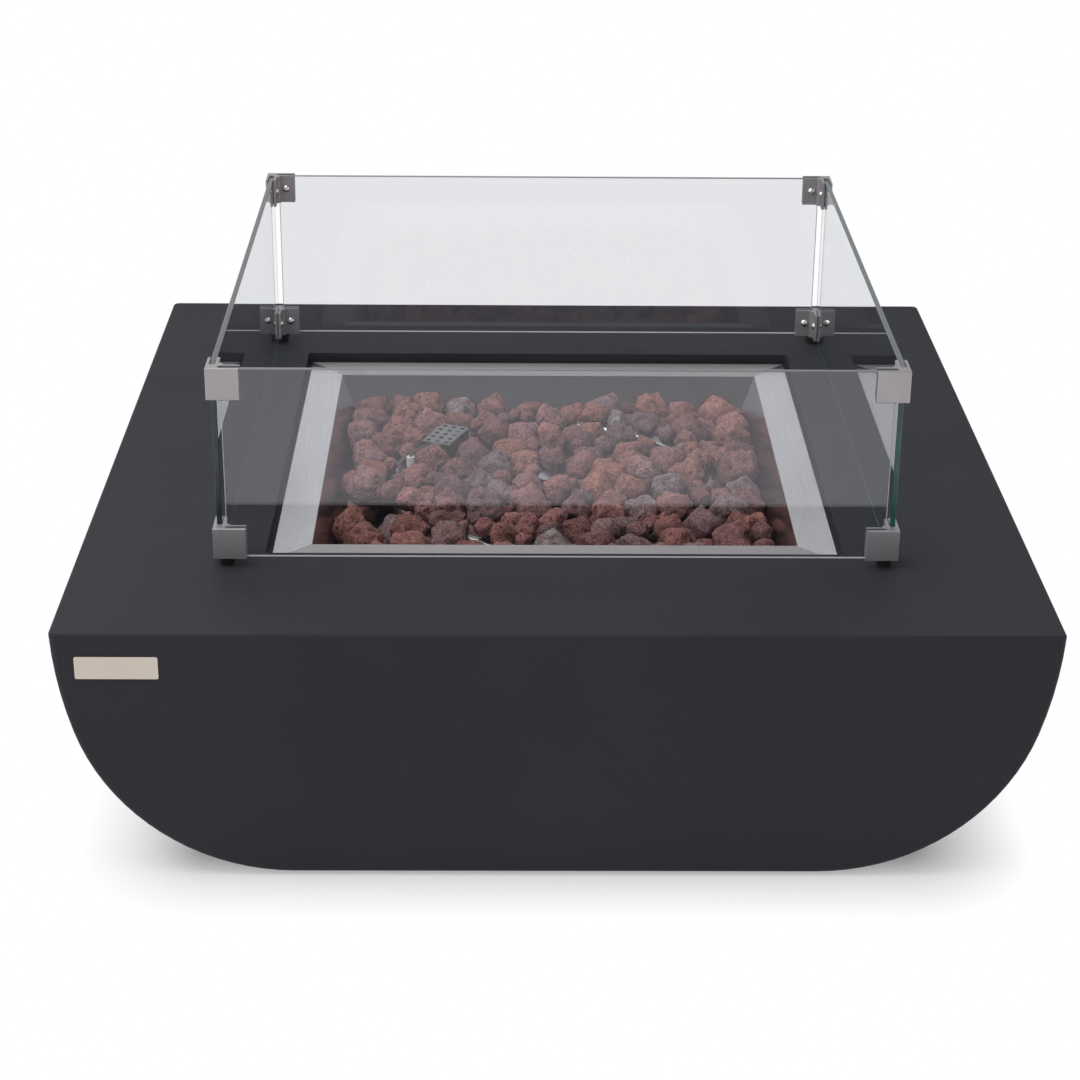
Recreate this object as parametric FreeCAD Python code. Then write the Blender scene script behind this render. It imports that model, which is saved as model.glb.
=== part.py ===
import FreeCAD, Part
import math
import os
import random

from FreeCAD import Vector

# A square fire pit table: a concrete shell with curved sides, a steel burner
# pan full of lava rock in its top, a gas panel on its back face, and a glass
# wind screen that stands loose on the top.
# Millimetres. X runs to the right, Y to the back and Z up. The origin lies on
# the ground under the middle of the table, and the name plate faces -Y.

# Table shell
table_width = 1070.0
table_depth = 1070.0
table_height = 294.0
pad_reveal = 3.0
shell_wall = 16.0
top_thickness = 30.0
side_run = 249.0
lower_curve_radius = 240.0
side_turn_angle = 16.5
corner_round = 8.0
top_edge_round = 3.0
base_side_rim = 71.0
base_end_rim = 95.0
base_opening_round = 30.0
hose_notch_width = 64.0
hose_notch_round = 6.0

# Foot pads under the base
pad_diameter = 40.0
pad_thickness = 7.0
pad_from_flat_end = 28.0
pad_from_face = 47.0
pad_chamfer = 0.8
foot_screw_diameter = 5.0
foot_screw_length = 11.0
foot_screw_head = 10.0
foot_screw_well = 2.5

# Name plate
plate_width = 88.0
plate_height = 26.0
plate_thickness = 1.2
plate_round = 2.0
plate_side_margin = 26.0
plate_top_margin = 26.0

# Burner pan
recess_clearance = 6.0
recess_round = 5.0
flange_drop = 11.5
sheet = 1.5
flange_side = 640.0
flange_width = 42.5
pan_depth = 75.0
pan_taper = 22.0
pan_hole_clearance = 4.0
mitre_groove_width = 0.8
mitre_groove_depth = 0.3
drain_diameter = 8.0
drain_circle_radius = 215.0
drain_count = 6

# Burner
thread_fit = 0.05
ring_radius = 198.0
burner_tube_diameter = 19.0
burner_tube_wall = 1.2
burner_rise = 30.0
port_diameter = 2.6
port_count = 40
hub_diameter = 34.0
hub_height = 30.0
saddle_thickness = 2.0
saddle_width = 30.0
saddle_foot = 14.0
saddle_count = 4
saddle_first_angle = 65.0
saddle_notch_depth = 6.0
nipple_diameter = 21.0
nipple_bore = 15.0
nipple_below_pan = 26.0
nipple_in_hub = 14.0
locknut_across_flats = 32.0
locknut_height = 6.0
mixer_diameter = 28.0
mixer_length = 38.0
mixer_air_hole = 7.0
spigot_diameter = 13.0
spigot_length = 9.0
line_bore = 8.0
elbow_size = 22.0
elbow_round = 3.0

# Pilot parts beside the ring
guard_x = -134.0
guard_y = 92.0
guard_turn = 67.0
guard_length = 64.0
guard_width = 37.0
guard_sheet = 1.2
guard_below_flange = 12.0
guard_hole_diameter = 6.5
guard_holes_long = 5
guard_holes_wide = 3
guard_wing_reach = 8.0
guard_wing_drop = 12.0
guard_foot = 12.0
bracket_along = 8.0
bracket_width = 24.0
bracket_height = 16.0
bracket_rise = 20.0
bracket_reach = 6.0
pilot_rivet_diameter = 3.0
thermocouple_diameter = 6.0
thermocouple_across = -3.0
thermocouple_gap = 5.0
thermocouple_nut = 10.0
insulator_inside_ring = 21.0
insulator_y = 34.0
insulator_diameter = 10.0
insulator_below_flange = 19.5
electrode_diameter = 3.0
electrode_rise = 3.5
electrode_bend = 3.0
holder_width = 14.0
holder_rise = 14.0

# Lava rock
rock_seed = 41
rock_gap = 0.3
ring_margin = 0.2
ring_lean_step = 3.5
ring_leans_each_way = 6
top_rock_radii = (24.0, 21.0, 18.5, 16.0, 14.0, 12.0, 10.0, 8.5)
bed_rock_radii = (28.0, 24.0, 20.0)
rock_tries = 1500
rock_overlap = 0.82
top_rock_rise = 34.0
top_rock_scatter = 7.0
cover_rock_radius = 17.0
cover_rock_share = 0.55
crumb_radius = 11.0
bare_tube_angle = 45.0
bare_tube_spread = 8.0
bed_rock_rise = 13.0
bed_rock_scatter = 1.0
rock_facets = 13
rock_roughness = 0.13
rock_shortest_edge = 0.9
rock_reach = 2.2
chip_tries = 21
chip_step = 0.2

# Gas panel on the back face
panel_x = 60.0
panel_width = 210.0
panel_height = 100.0
panel_thickness = 2.0
panel_round = 8.0
panel_cutout_margin = 16.0
panel_screw_inset = 9.0
panel_screw_diameter = 4.0
panel_screw_head = 8.0
panel_screw_dome = 2.4
panel_screw_length = 11.0
insert_diameter = 7.0
insert_length = 13.0
control_spacing = 100.0

# Gas valve and knob
valve_width = 40.0
valve_length = 52.0
valve_height = 44.0
valve_neck_diameter = 20.0
valve_flange_diameter = 34.0
valve_flange_thickness = 5.0
valve_nut_across_flats = 27.0
valve_nut_height = 6.0
neck_past_nut = 1.0
stem_diameter = 8.0
stem_fit = 0.05
stem_flat = 1.5
knob_diameter = 46.0
knob_height = 26.0
knob_travel = 3.0
knob_panel_gap = 4.0
knob_grip_height = 15.0
knob_grip_width = 13.0
knob_round = 1.5
knob_hollow_diameter = 35.0
knob_bore_depth = 12.0
pointer_width = 1.6
pointer_length = 12.0
pointer_depth = 0.6
collar_diameter = 15.0
collar_thickness = 2.0
stem_in_valve = 20.0
valve_round = 4.0
inlet_thread_diameter = 15.9
inlet_thread_length = 14.0
inlet_nose_length = 4.0
inlet_nose_rim = 1.0
inlet_hex = 22.0
inlet_hex_height = 9.0
inlet_boss_diameter = 24.0
inlet_boss_height = 8.0
inlet_bore = 7.0
inlet_from_back = 32.0

# Gas pipe from the valve to the burner
pipe_diameter = 10.0
pipe_wall = 1.0
pipe_nut_across_flats = 17.0
pipe_nut_length = 14.0
pipe_first_bend_y = 150.0
pipe_second_bend_y = 330.0
pipe_bend_radius = 60.0

# Push igniter
igniter_diameter = 24.0
igniter_length = 82.0
igniter_bezel_diameter = 33.0
igniter_bezel_height = 4.0
igniter_nut_thickness = 5.0
igniter_nut_across_flats = 32.0
bezel_round = 1.5
button_diameter = 20.0
button_fit = 0.1
button_proud = 7.0
button_travel = 4.0
button_length = 34.0
button_round = 1.5
battery_diameter = 14.2
battery_length = 50.0
battery_bore = 15.0
battery_cap_share = 0.05
battery_tip_share = 0.38
terminal_width = 6.0
terminal_thickness = 0.8
terminal_length = 12.0

# Glass wind screen
screen_side = 758.0
screen_back_shift = 12.0
screen_foot_gap = 0.3
glass_thickness = 6.0
glass_height = 221.0
glass_end_gap = 15.2
glass_edge_chamfer = 0.6
glass_lift = 1.5
clip_arm = 36.5
clip_height = 36.5
clip_outer_wall = 3.2
clip_inner_wall = 3.2
clip_edge_round = 1.0
slot_end = 13.2
liner_thickness = 0.5
liner_height = 30.0
liner_margin = 2.0
clip_screw_head = 10.5
clip_screw_dome = 3.4
clip_screw_diameter = 5.0
screen_foot_top = 19.0
screen_foot_bottom = 15.5
screen_foot_height = 9.0
screen_foot_inset = 13.7
foot_boss_diameter = 10.0
foot_bolt_diameter = 4.0
foot_bolt_length = 20.0
foot_bolt_head = 7.5
foot_bolt_head_height = 2.5
foot_bolt_well = 1.0

# Drawing aids: how far a cut runs past a face, and how near two points count as one
cut_past = 1.0
near = 0.01

# Places that follow from the sizes above
table_front = -table_depth / 2
table_back = table_depth / 2
base_flat_half = table_width / 2 - side_run
base_opening_width = 2 * (base_flat_half - base_side_rim)
base_opening_depth = table_depth - 2 * base_end_rim
pad_inset_x = base_flat_half - pad_from_flat_end
pad_inset_y = table_back - pad_from_face
recess_side = flange_side + 2 * recess_clearance
flange_z = table_height - flange_drop
recess_floor_z = flange_z - sheet
ceiling_z = table_height - top_thickness
base_top_z = pad_reveal + shell_wall
pan_opening = flange_side - 2 * flange_width
pan_slope = math.tan(math.radians(pan_taper))
pan_floor_z = flange_z - pan_depth
pan_underside_z = pan_floor_z - sheet
burner_z = pan_floor_z + burner_rise
tube_radius = burner_tube_diameter / 2
saddle_top_z = burner_z - tube_radius + saddle_notch_depth
mixer_top_z = pan_underside_z - locknut_height - sheet
mixer_bottom_z = mixer_top_z - mixer_length
gas_line_z = mixer_bottom_z - elbow_size / 2
panel_z = gas_line_z
panel_face_y = table_back + panel_thickness
valve_x = panel_x + control_spacing / 2
igniter_x = panel_x - control_spacing / 2
valve_back_y = table_back - valve_flange_thickness - valve_length
neck_end_y = panel_face_y + valve_nut_height + neck_past_nut
stem_end_y = neck_end_y - stem_in_valve
inlet_y = table_back - inlet_from_back
collar_y = neck_end_y + knob_travel + stem_fit
hub_face_y = collar_y + collar_thickness + stem_fit
knob_y = panel_face_y + knob_panel_gap
bezel_y = panel_face_y + igniter_bezel_height
button_back_y = bezel_y + button_proud - button_length
button_bore_end_y = button_back_y - button_travel - button_fit
guard_top_z = flange_z - guard_below_flange
bracket_z = pan_floor_z + bracket_rise
insulator_x = insulator_inside_ring - ring_radius
insulator_top_z = flange_z - insulator_below_flange
holder_z = pan_floor_z + holder_rise
screen_half = screen_side / 2
clip_bottom_z = table_height + screen_foot_gap + screen_foot_height
slot_width = glass_thickness + 2 * liner_thickness
arm_thickness = clip_outer_wall + slot_width + clip_inner_wall
screen_height = glass_height + 2 * glass_lift
screw_along_arm = (arm_thickness + clip_arm) / 2
corner_signs = [(-1, -1), (1, -1), (1, 1), (-1, 1)]
back = Vector(0, 1, 0)
front = Vector(0, -1, 0)
up = Vector(0, 0, 1)
down = Vector(0, 0, -1)
right = Vector(1, 0, 0)
middle_point = Vector(0, 0, 0)


def box(x0, x1, y0, y1, z0, z1):
    """A block between two corners."""
    return Part.makeBox(x1 - x0, y1 - y0, z1 - z0, Vector(x0, y0, z0))


def rod(diameter, length, x, y, z, direction):
    """A round bar that starts at a point and runs along a direction."""
    return Part.makeCylinder(diameter / 2, length, Vector(x, y, z), direction)


def hexagon(across_flats, height, x, y, z, direction):
    """A hexagonal bar that starts at a point and runs along a direction."""
    corner_radius = across_flats / 2 / math.cos(math.pi / 6)
    points = []
    for i in range(7):
        angle = math.radians(60 * i)
        points.append(Vector(corner_radius * math.cos(angle), corner_radius * math.sin(angle), 0))
    bar = Part.Face(Part.makePolygon(points)).extrude(Vector(0, 0, height))
    bar.Placement = FreeCAD.Placement(Vector(x, y, z), FreeCAD.Rotation(up, direction))
    return bar


def rounded_block(width, depth, height, corner, x, y, z):
    """A block with four round upright corners, centred at x, y, with its foot at z."""
    block = box(x - width / 2, x + width / 2, y - depth / 2, y + depth / 2, z, z + height)
    upright = []
    for edge in block.Edges:
        if abs(edge.tangentAt(edge.FirstParameter).z) > 0.9:
            upright.append(edge)
    return block.makeFillet(corner, upright)


def turn_from_up(direction):
    """The axis and angle that turn a piece standing up to face along a direction."""
    turn = FreeCAD.Rotation(up, direction)
    return turn.Axis, math.degrees(turn.Angle)


def dome(diameter, height, place, direction):
    """A round domed head that stands on a point and faces along a direction."""
    radius = (diameter * diameter / 4 + height * height) / (2 * height)
    half_angle = math.asin(diameter / 2 / radius) / 2
    middle = Vector(radius * math.sin(half_angle), 0, height - radius + radius * math.cos(half_angle))
    start = Vector(diameter / 2, 0, 0)
    top = Vector(0, 0, height)
    outline = Part.Wire([Part.makeLine(middle_point, start), Part.Arc(start, middle, top).toShape(),
                         Part.makeLine(top, middle_point)])
    head = Part.Face(outline).revolve(middle_point, up, 360)
    head.rotate(middle_point, *turn_from_up(direction))
    head.translate(place)
    return head


def joined(shapes):
    """Several touching shapes as one solid."""
    return shapes[0].fuse(shapes[1:]).removeSplitter()


def save(name, shape):
    """Write one sub-part as parts/NAME.step."""
    shape.exportStep("parts/" + name + ".step")
    print(name, len(shape.Solids), "solids", round(shape.Volume / 1000, 1), "cm3")


def lower_curve_centre():
    """The middle of the arc that rises from the flat base."""
    return base_flat_half, pad_reveal + lower_curve_radius


def upper_curve():
    """Centre x, centre z and radius of the arc that meets the lower one and ends at the top edge."""
    turn = math.radians(side_turn_angle)
    cx, cz = lower_curve_centre()
    start_x = cx + lower_curve_radius * math.cos(turn)
    start_z = cz - lower_curve_radius * math.sin(turn)
    dx = table_width / 2 - start_x
    dz = table_height - start_z
    radius = (dx * dx + dz * dz) / (2 * (dz * math.sin(turn) - dx * math.cos(turn)))
    return start_x - radius * math.cos(turn), start_z + radius * math.sin(turn), radius


def side_arc(centre_x, centre_z, radius, z_start, z_end, sign):
    """The part of a side arc between two heights, on the right for sign 1 and the left for -1."""
    points = []
    first = math.asin((centre_z - z_start) / radius)
    last = math.asin((centre_z - z_end) / radius)
    for angle in (first, (first + last) / 2, last):
        x = centre_x + radius * math.cos(angle)
        z = centre_z - radius * math.sin(angle)
        points.append(Vector(sign * x, 0, z))
    return Part.Arc(*points).toShape(), points[0], points[2]


def boat_section(inset, bottom, top):
    """The front outline of the shell, drawn a given distance inside its skin."""
    turn = math.radians(side_turn_angle)
    cx, cz = lower_curve_centre()
    ux, uz, upper_radius = upper_curve()
    lower_radius = lower_curve_radius - inset
    turn_z = cz - lower_radius * math.sin(turn)
    edges = []
    ends = []
    for sign in (1, -1):
        low, low_start, low_end = side_arc(cx, cz, lower_radius, bottom, turn_z, sign)
        high, high_start, high_end = side_arc(ux, uz, upper_radius - inset, turn_z, top, sign)
        edges.extend([low, high])
        ends.append((low_start, high_end))
    edges.append(Part.makeLine(ends[0][1], ends[1][1]))
    edges.append(Part.makeLine(ends[0][0], ends[1][0]))
    return Part.Face(Part.Wire(Part.__sortEdges__(edges)))


def panel_cutout():
    """The hole in the back wall behind the gas panel."""
    width = panel_width - 2 * panel_cutout_margin
    height = panel_height - 2 * panel_cutout_margin
    hole = rounded_block(width, height, shell_wall + 2 * cut_past, panel_round, 0, 0, 0)
    hole.rotate(middle_point, right, 90)
    hole.translate(Vector(panel_x, table_back + cut_past, panel_z))
    return hole


def hose_notch():
    """The notch in the base under the gas inlet, through which the supply hose comes straight up."""
    depth = table_back - shell_wall - base_opening_depth / 4
    middle_y = table_back - shell_wall - depth / 2
    return rounded_block(hose_notch_width, depth, base_top_z + cut_past, hose_notch_round, valve_x, middle_y, 0)


def panel_screw_places():
    """The four screw places of the gas panel, as x and z."""
    places = []
    for sx, sz in corner_signs:
        x = panel_x + sx * (panel_width / 2 - panel_screw_inset)
        places.append((x, panel_z + sz * (panel_height / 2 - panel_screw_inset)))
    return places


def foot_screw(x, y):
    """A countersunk screw that holds one foot pad from below."""
    head_height = foot_screw_head / 4
    head = Part.makeCone(foot_screw_head / 2, foot_screw_diameter / 2, head_height,
                         Vector(x, y, foot_screw_well), up)
    shank = rod(foot_screw_diameter, foot_screw_length, x, y, foot_screw_well + head_height, up)
    return joined([head, shank])


def table_body():
    """The concrete shell: curved outside, hollow inside, open below, with a recess for the pan."""
    outer = boat_section(0, pad_reveal, table_height)
    outer.translate(Vector(0, table_front, 0))
    shell = outer.extrude(Vector(0, table_depth, 0))
    side_edges = []
    for edge in shell.Edges:
        ends = [v.Point for v in edge.Vertexes]
        on_end_face = all(abs(abs(p.y) - table_depth / 2) < near for p in ends)
        on_top = all(p.z > table_height - near for p in ends)
        if on_end_face and not on_top:
            side_edges.append(edge)
    shell = shell.makeFillet(corner_round, side_edges)
    top_edges = []
    for edge in shell.Edges:
        if all(v.Point.z > table_height - near for v in edge.Vertexes):
            top_edges.append(edge)
    shell = shell.makeFillet(top_edge_round, top_edges)
    inner = boat_section(shell_wall, base_top_z, ceiling_z)
    inner.translate(Vector(0, table_front + shell_wall, 0))
    cavity = inner.extrude(Vector(0, table_depth - 2 * shell_wall, 0))
    recess = rounded_block(recess_side, recess_side, table_height, recess_round, 0, 0, recess_floor_z)
    hole_side = pan_opening + 2 * sheet + 2 * pan_hole_clearance
    pan_hole = rounded_block(hole_side, hole_side, table_height, recess_round, 0, 0, ceiling_z - cut_past)
    base_hole = rounded_block(
        base_opening_width, base_opening_depth, base_top_z + cut_past, base_opening_round, 0, 0, 0)
    cuts = [cavity, recess, pan_hole, base_hole, hose_notch(), panel_cutout()]
    for sx, sy in corner_signs:
        cuts.append(rod(pad_diameter, pad_thickness, sx * pad_inset_x, sy * pad_inset_y, 0, up))
        cuts.append(foot_screw(sx * pad_inset_x, sy * pad_inset_y))
    for x, z in panel_screw_places():
        cuts.append(rod(insert_diameter, insert_length, x, table_back, z, front))
    return shell.cut(cuts)


def foot_pads():
    """Four round pads, each let into a socket in the base, with a well for its screw."""
    pads = []
    for sx, sy in corner_signs:
        x = sx * pad_inset_x
        y = sy * pad_inset_y
        pad = rod(pad_diameter, pad_thickness, x, y, 0, up)
        rim = [edge for edge in pad.Edges if edge.BoundBox.ZMax < near]
        pad = pad.makeChamfer(pad_chamfer, rim)
        well = rod(foot_screw_head, foot_screw_well, x, y, 0, up)
        pads.append(pad.cut([foot_screw(x, y), well]))
    return Part.Compound(pads)


def foot_screws():
    """The four screws of the foot pads."""
    return Part.Compound([foot_screw(sx * pad_inset_x, sy * pad_inset_y) for sx, sy in corner_signs])


def name_plate():
    """A thin bare plate with round corners on the front face."""
    plate = rounded_block(plate_width, plate_height, plate_thickness, plate_round, 0, 0, 0)
    plate.rotate(middle_point, right, 90)
    x = -table_width / 2 + plate_side_margin + plate_width / 2
    z = table_height - plate_top_margin - plate_height / 2
    plate.translate(Vector(x, table_front, z))
    return plate


def square_taper(half_low, z_low, half_high, z_high):
    """A square block that widens upwards."""
    outlines = []
    for half, z in ((half_low, z_low), (half_high, z_high)):
        corners = [Vector(sx * half, sy * half, z) for sx, sy in corner_signs]
        outlines.append(Part.makePolygon(corners + corners[:1]))
    return Part.makeLoft(outlines, True, True)


def burner_pan():
    """The steel pan: a flat mitred flange on the recess ledge and four sloping walls down to its floor."""
    half = pan_opening / 2
    low_half = half - pan_depth * pan_slope
    outside = square_taper(low_half + sheet, pan_underside_z, half + sheet, recess_floor_z)
    inside = square_taper(low_half, pan_floor_z, half + sheet * pan_slope, flange_z + sheet)
    flange_half = flange_side / 2
    flange = box(-flange_half, flange_half, -flange_half, flange_half, recess_floor_z, flange_z)
    pan = flange.fuse(outside).cut(inside)
    cuts = []
    groove_length = flange_width * math.sqrt(2)
    for i in range(4):
        groove = box(half * math.sqrt(2), half * math.sqrt(2) + groove_length,
                     -mitre_groove_width / 2, mitre_groove_width / 2,
                     flange_z - mitre_groove_depth, flange_z + cut_past)
        groove.rotate(middle_point, up, 45 + 90 * i)
        cuts.append(groove)
    for i in range(drain_count):
        angle = 2 * math.pi * (i + 0.5) / drain_count
        cuts.append(rod(drain_diameter, 3 * sheet, drain_circle_radius * math.cos(angle),
                        drain_circle_radius * math.sin(angle), pan_underside_z - sheet, up))
    cuts.append(rod(nipple_diameter + 2 * thread_fit, 3 * sheet, 0, 0, pan_underside_z - sheet, up))
    return pan.cut(cuts)


def burner_ring():
    """A hollow ring with a cross tube and a hub, and a row of gas ports along its top."""
    solids = []
    hollows = []
    hub_z = burner_z - hub_height / 2
    for diameter, group in ((burner_tube_diameter, solids),
                            (burner_tube_diameter - 2 * burner_tube_wall, hollows)):
        group.append(Part.makeTorus(ring_radius, diameter / 2, Vector(0, 0, burner_z)))
        group.append(rod(diameter, 2 * ring_radius, 0, -ring_radius, burner_z, back))
    solids.append(rod(hub_diameter, hub_height, 0, 0, hub_z, up))
    hollows.append(rod(nipple_diameter, hub_height - 2 * burner_tube_wall, 0, 0, hub_z - burner_tube_wall,
                       up))
    ports = []
    for i in range(port_count):
        angle = 2 * math.pi * (i + 0.5) / port_count
        ports.append(rod(port_diameter, burner_tube_diameter, ring_radius * math.cos(angle),
                         ring_radius * math.sin(angle), burner_z, up))
    body = solids[0].fuse(solids[1:])
    return body.cut(hollows).cut(ports)


def burner_saddles():
    """Upright plates with a foot, each with a notch in which the ring lies."""
    saddles = []
    for i in range(saddle_count):
        plate = box(ring_radius - saddle_width / 2, ring_radius + saddle_width / 2,
                    0, saddle_thickness, pan_floor_z, saddle_top_z)
        foot = box(ring_radius - saddle_width / 2, ring_radius + saddle_width / 2,
                   0, saddle_foot, pan_floor_z, pan_floor_z + saddle_thickness)
        saddle = joined([plate, foot])
        notch = rod(burner_tube_diameter + 2 * thread_fit, 4 * saddle_foot, ring_radius,
                    -2 * saddle_foot, burner_z, back)
        saddle = saddle.cut(notch)
        saddle.rotate(middle_point, up, saddle_first_angle + 360 / saddle_count * i)
        saddles.append(saddle)
    return Part.Compound(saddles)


def inlet_nipple():
    """The short pipe that brings the gas from the mixer up through the pan floor into the hub."""
    low = pan_underside_z - nipple_below_pan
    high = burner_z - hub_height / 2 + nipple_in_hub
    tube = rod(nipple_diameter - 2 * thread_fit, high - low, 0, 0, low, up)
    return tube.cut(rod(nipple_bore, high - low, 0, 0, low, up))


def inlet_locknuts():
    """Two thin nuts on the nipple, one on each side of the pan floor."""
    nuts = []
    for z in (pan_floor_z, pan_underside_z - locknut_height):
        nut = hexagon(locknut_across_flats, locknut_height, 0, 0, z, up)
        nuts.append(nut.cut(rod(nipple_diameter, locknut_height, 0, 0, z, up)))
    return Part.Compound(nuts)


def air_mixer():
    """The barrel under the pan that draws in air through its side holes."""
    body = rod(mixer_diameter, mixer_length, 0, 0, mixer_bottom_z, up)
    socket_z = pan_underside_z - nipple_below_pan
    socket = rod(nipple_diameter, mixer_top_z - socket_z, 0, 0, socket_z, up)
    throat = rod(spigot_diameter, mixer_length, 0, 0, mixer_bottom_z, up)
    air_z = mixer_bottom_z + spigot_length + mixer_air_hole / 2
    air = rod(mixer_air_hole, 2 * mixer_diameter, -mixer_diameter, 0, air_z, right)
    return body.cut([socket, throat, air])


def inlet_elbow():
    """A brass elbow that turns the gas line up into the mixer."""
    half = elbow_size / 2
    block = rounded_block(elbow_size, elbow_size, elbow_size, elbow_round, 0, 0, gas_line_z - half)
    riser = rod(spigot_diameter - 2 * thread_fit, half + spigot_length, 0, 0, gas_line_z, up)
    outlet = rod(spigot_diameter - 2 * thread_fit, half + spigot_length, 0, 0, gas_line_z, back)
    bore_up = rod(line_bore, half + spigot_length, 0, 0, gas_line_z, up)
    bore_out = rod(line_bore, half + spigot_length, 0, 0, gas_line_z, back)
    return joined([block, riser, outlet]).cut([bore_up, bore_out])


def gas_pipe():
    """A bent steel pipe from the valve to the elbow, in one level plane."""
    start = Vector(0, elbow_size / 2 + spigot_length, gas_line_z)
    end = Vector(valve_x, valve_back_y - spigot_length, gas_line_z)
    turn_a = Vector(0, pipe_first_bend_y, gas_line_z)
    turn_b = Vector(valve_x, pipe_second_bend_y, gas_line_z)
    slant = (turn_b - turn_a).normalize()
    edges = []
    last = start
    for corner, way_in, way_out in ((turn_a, back, slant), (turn_b, slant, back)):
        setback = pipe_bend_radius * math.tan(way_in.getAngle(way_out) / 2)
        enter = corner - way_in * setback
        leave = corner + way_out * setback
        inward = (way_out - way_in).normalize()
        depth = pipe_bend_radius / math.cos(way_in.getAngle(way_out) / 2) - pipe_bend_radius
        edges.append(Part.makeLine(last, enter))
        edges.append(Part.Arc(enter, corner + inward * depth, leave).toShape())
        last = leave
    edges.append(Part.makeLine(last, end))
    route = Part.Wire(edges)
    tubes = []
    for diameter in (pipe_diameter, pipe_diameter - 2 * pipe_wall):
        ring = Part.Wire([Part.makeCircle(diameter / 2, start, back)])
        tubes.append(route.makePipeShell([ring], True, False))
    return tubes[0].cut(tubes[1])


def pipe_nuts():
    """The two union nuts that hold the pipe on its spigots."""
    nuts = []
    places = ((0, elbow_size / 2, back), (valve_x, valve_back_y, front))
    for x, y, way in places:
        nut = hexagon(pipe_nut_across_flats, pipe_nut_length, x, y, gas_line_z, way)
        wide = rod(spigot_diameter, spigot_length, x, y, gas_line_z, way)
        narrow = rod(pipe_diameter + 2 * thread_fit, pipe_nut_length, x, y, gas_line_z, way)
        nuts.append(nut.cut([wide, narrow]))
    return Part.Compound(nuts)


def guard_place(u, v, z):
    """A point given along and across the pilot guard, and by its height."""
    turn = math.radians(guard_turn)
    x = guard_x + u * math.cos(turn) - v * math.sin(turn)
    return Vector(x, guard_y + u * math.sin(turn) + v * math.cos(turn), z)


def turned_to_guard(shape):
    """Moves a shape drawn along and across the guard to its place beside the ring."""
    shape.rotate(middle_point, up, guard_turn)
    shape.translate(Vector(guard_x, guard_y, 0))
    return shape


def pilot_rivet_pins():
    """The shanks of the two rivets through the guard wall, drawn along and across the guard."""
    pins = []
    wall_y = -guard_width / 2
    for side in (-1, 1):
        x = bracket_along + side * bracket_width / 4
        pins.append(rod(pilot_rivet_diameter, 2 * guard_sheet, x, wall_y, bracket_z + bracket_height / 2,
                        back))
    return pins


def pilot_guard():
    """A bent plate over the pilot: a pierced top, an upright wall with a foot and a sloping wing."""
    half_l = guard_length / 2
    half_w = guard_width / 2
    low = guard_top_z - guard_sheet
    top = box(-half_l, half_l, -half_w, half_w, low, guard_top_z)
    wall = box(-half_l, half_l, -half_w, guard_sheet - half_w, pan_floor_z, guard_top_z)
    foot = box(-half_l, half_l, -half_w - guard_foot, guard_sheet - half_w,
               pan_floor_z, pan_floor_z + guard_sheet)
    corners = [(half_w - guard_sheet, guard_top_z), (half_w, guard_top_z),
               (half_w + guard_wing_reach, guard_top_z - guard_wing_drop),
               (half_w + guard_wing_reach - guard_sheet, guard_top_z - guard_wing_drop),
               (half_w - guard_sheet, low)]
    outline = [Vector(-half_l, y, z) for y, z in corners]
    wing = Part.Face(Part.makePolygon(outline + outline[:1])).extrude(Vector(guard_length, 0, 0))
    guard = joined([top, wall, foot, wing])
    holes = []
    for i in range(guard_holes_long):
        for j in range(guard_holes_wide):
            x = guard_length * ((i + 0.5) / guard_holes_long - 0.5)
            y = guard_width * ((j + 0.5) / guard_holes_wide - 0.5)
            holes.append(rod(guard_hole_diameter, 3 * guard_sheet, x, y, low - guard_sheet, up))
    holes.extend(pilot_rivet_pins())
    return turned_to_guard(guard.cut(holes))


def pilot_rivets():
    """Two rivets that hold the pilot bracket to the guard wall."""
    rivets = []
    for pin in pilot_rivet_pins():
        box_of = pin.BoundBox
        centre_x = (box_of.XMin + box_of.XMax) / 2
        centre_z = (box_of.ZMin + box_of.ZMax) / 2
        outer_head = rod(2 * pilot_rivet_diameter, guard_sheet, centre_x, box_of.YMin, centre_z, front)
        inner_head = rod(2 * pilot_rivet_diameter, guard_sheet, centre_x, box_of.YMax, centre_z, back)
        rivets.append(turned_to_guard(joined([outer_head, pin, inner_head])))
    return Part.Compound(rivets)


def pilot_bracket():
    """A small angle on the guard wall that carries the thermocouple."""
    wall_y = guard_sheet - guard_width / 2
    x0 = bracket_along - bracket_width / 2
    x1 = bracket_along + bracket_width / 2
    plate = box(x0, x1, wall_y, wall_y + guard_sheet, bracket_z, bracket_z + bracket_height)
    shelf = box(x0, x1, wall_y, bracket_reach, bracket_z, bracket_z + guard_sheet)
    hole = rod(thermocouple_diameter + 2 * thread_fit, 3 * guard_sheet, bracket_along,
               thermocouple_across, bracket_z - guard_sheet, up)
    return turned_to_guard(joined([plate, shelf]).cut([hole] + pilot_rivet_pins()))


def thermocouple():
    """The round flame sensor with its nut on the bracket."""
    probe = rod(thermocouple_diameter, guard_top_z - guard_sheet - thermocouple_gap - pan_floor_z,
                bracket_along, thermocouple_across, pan_floor_z, up)
    nut = hexagon(thermocouple_nut, thermocouple_nut / 2, bracket_along, thermocouple_across,
                  bracket_z + guard_sheet, up)
    return turned_to_guard(joined([probe, nut]))


def electrode_insulator():
    """The white ceramic sleeve of the spark electrode."""
    height = insulator_top_z - pan_floor_z
    sleeve = rod(insulator_diameter, height, insulator_x, insulator_y, pan_floor_z, up)
    return sleeve.cut(rod(electrode_diameter, height, insulator_x, insulator_y, pan_floor_z + height / 2,
                          up))


def electrode_tip():
    """The end of the electrode's wire, under the guard."""
    return guard_place(-guard_length / 4, guard_width / 4, insulator_top_z + electrode_rise)


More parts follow.
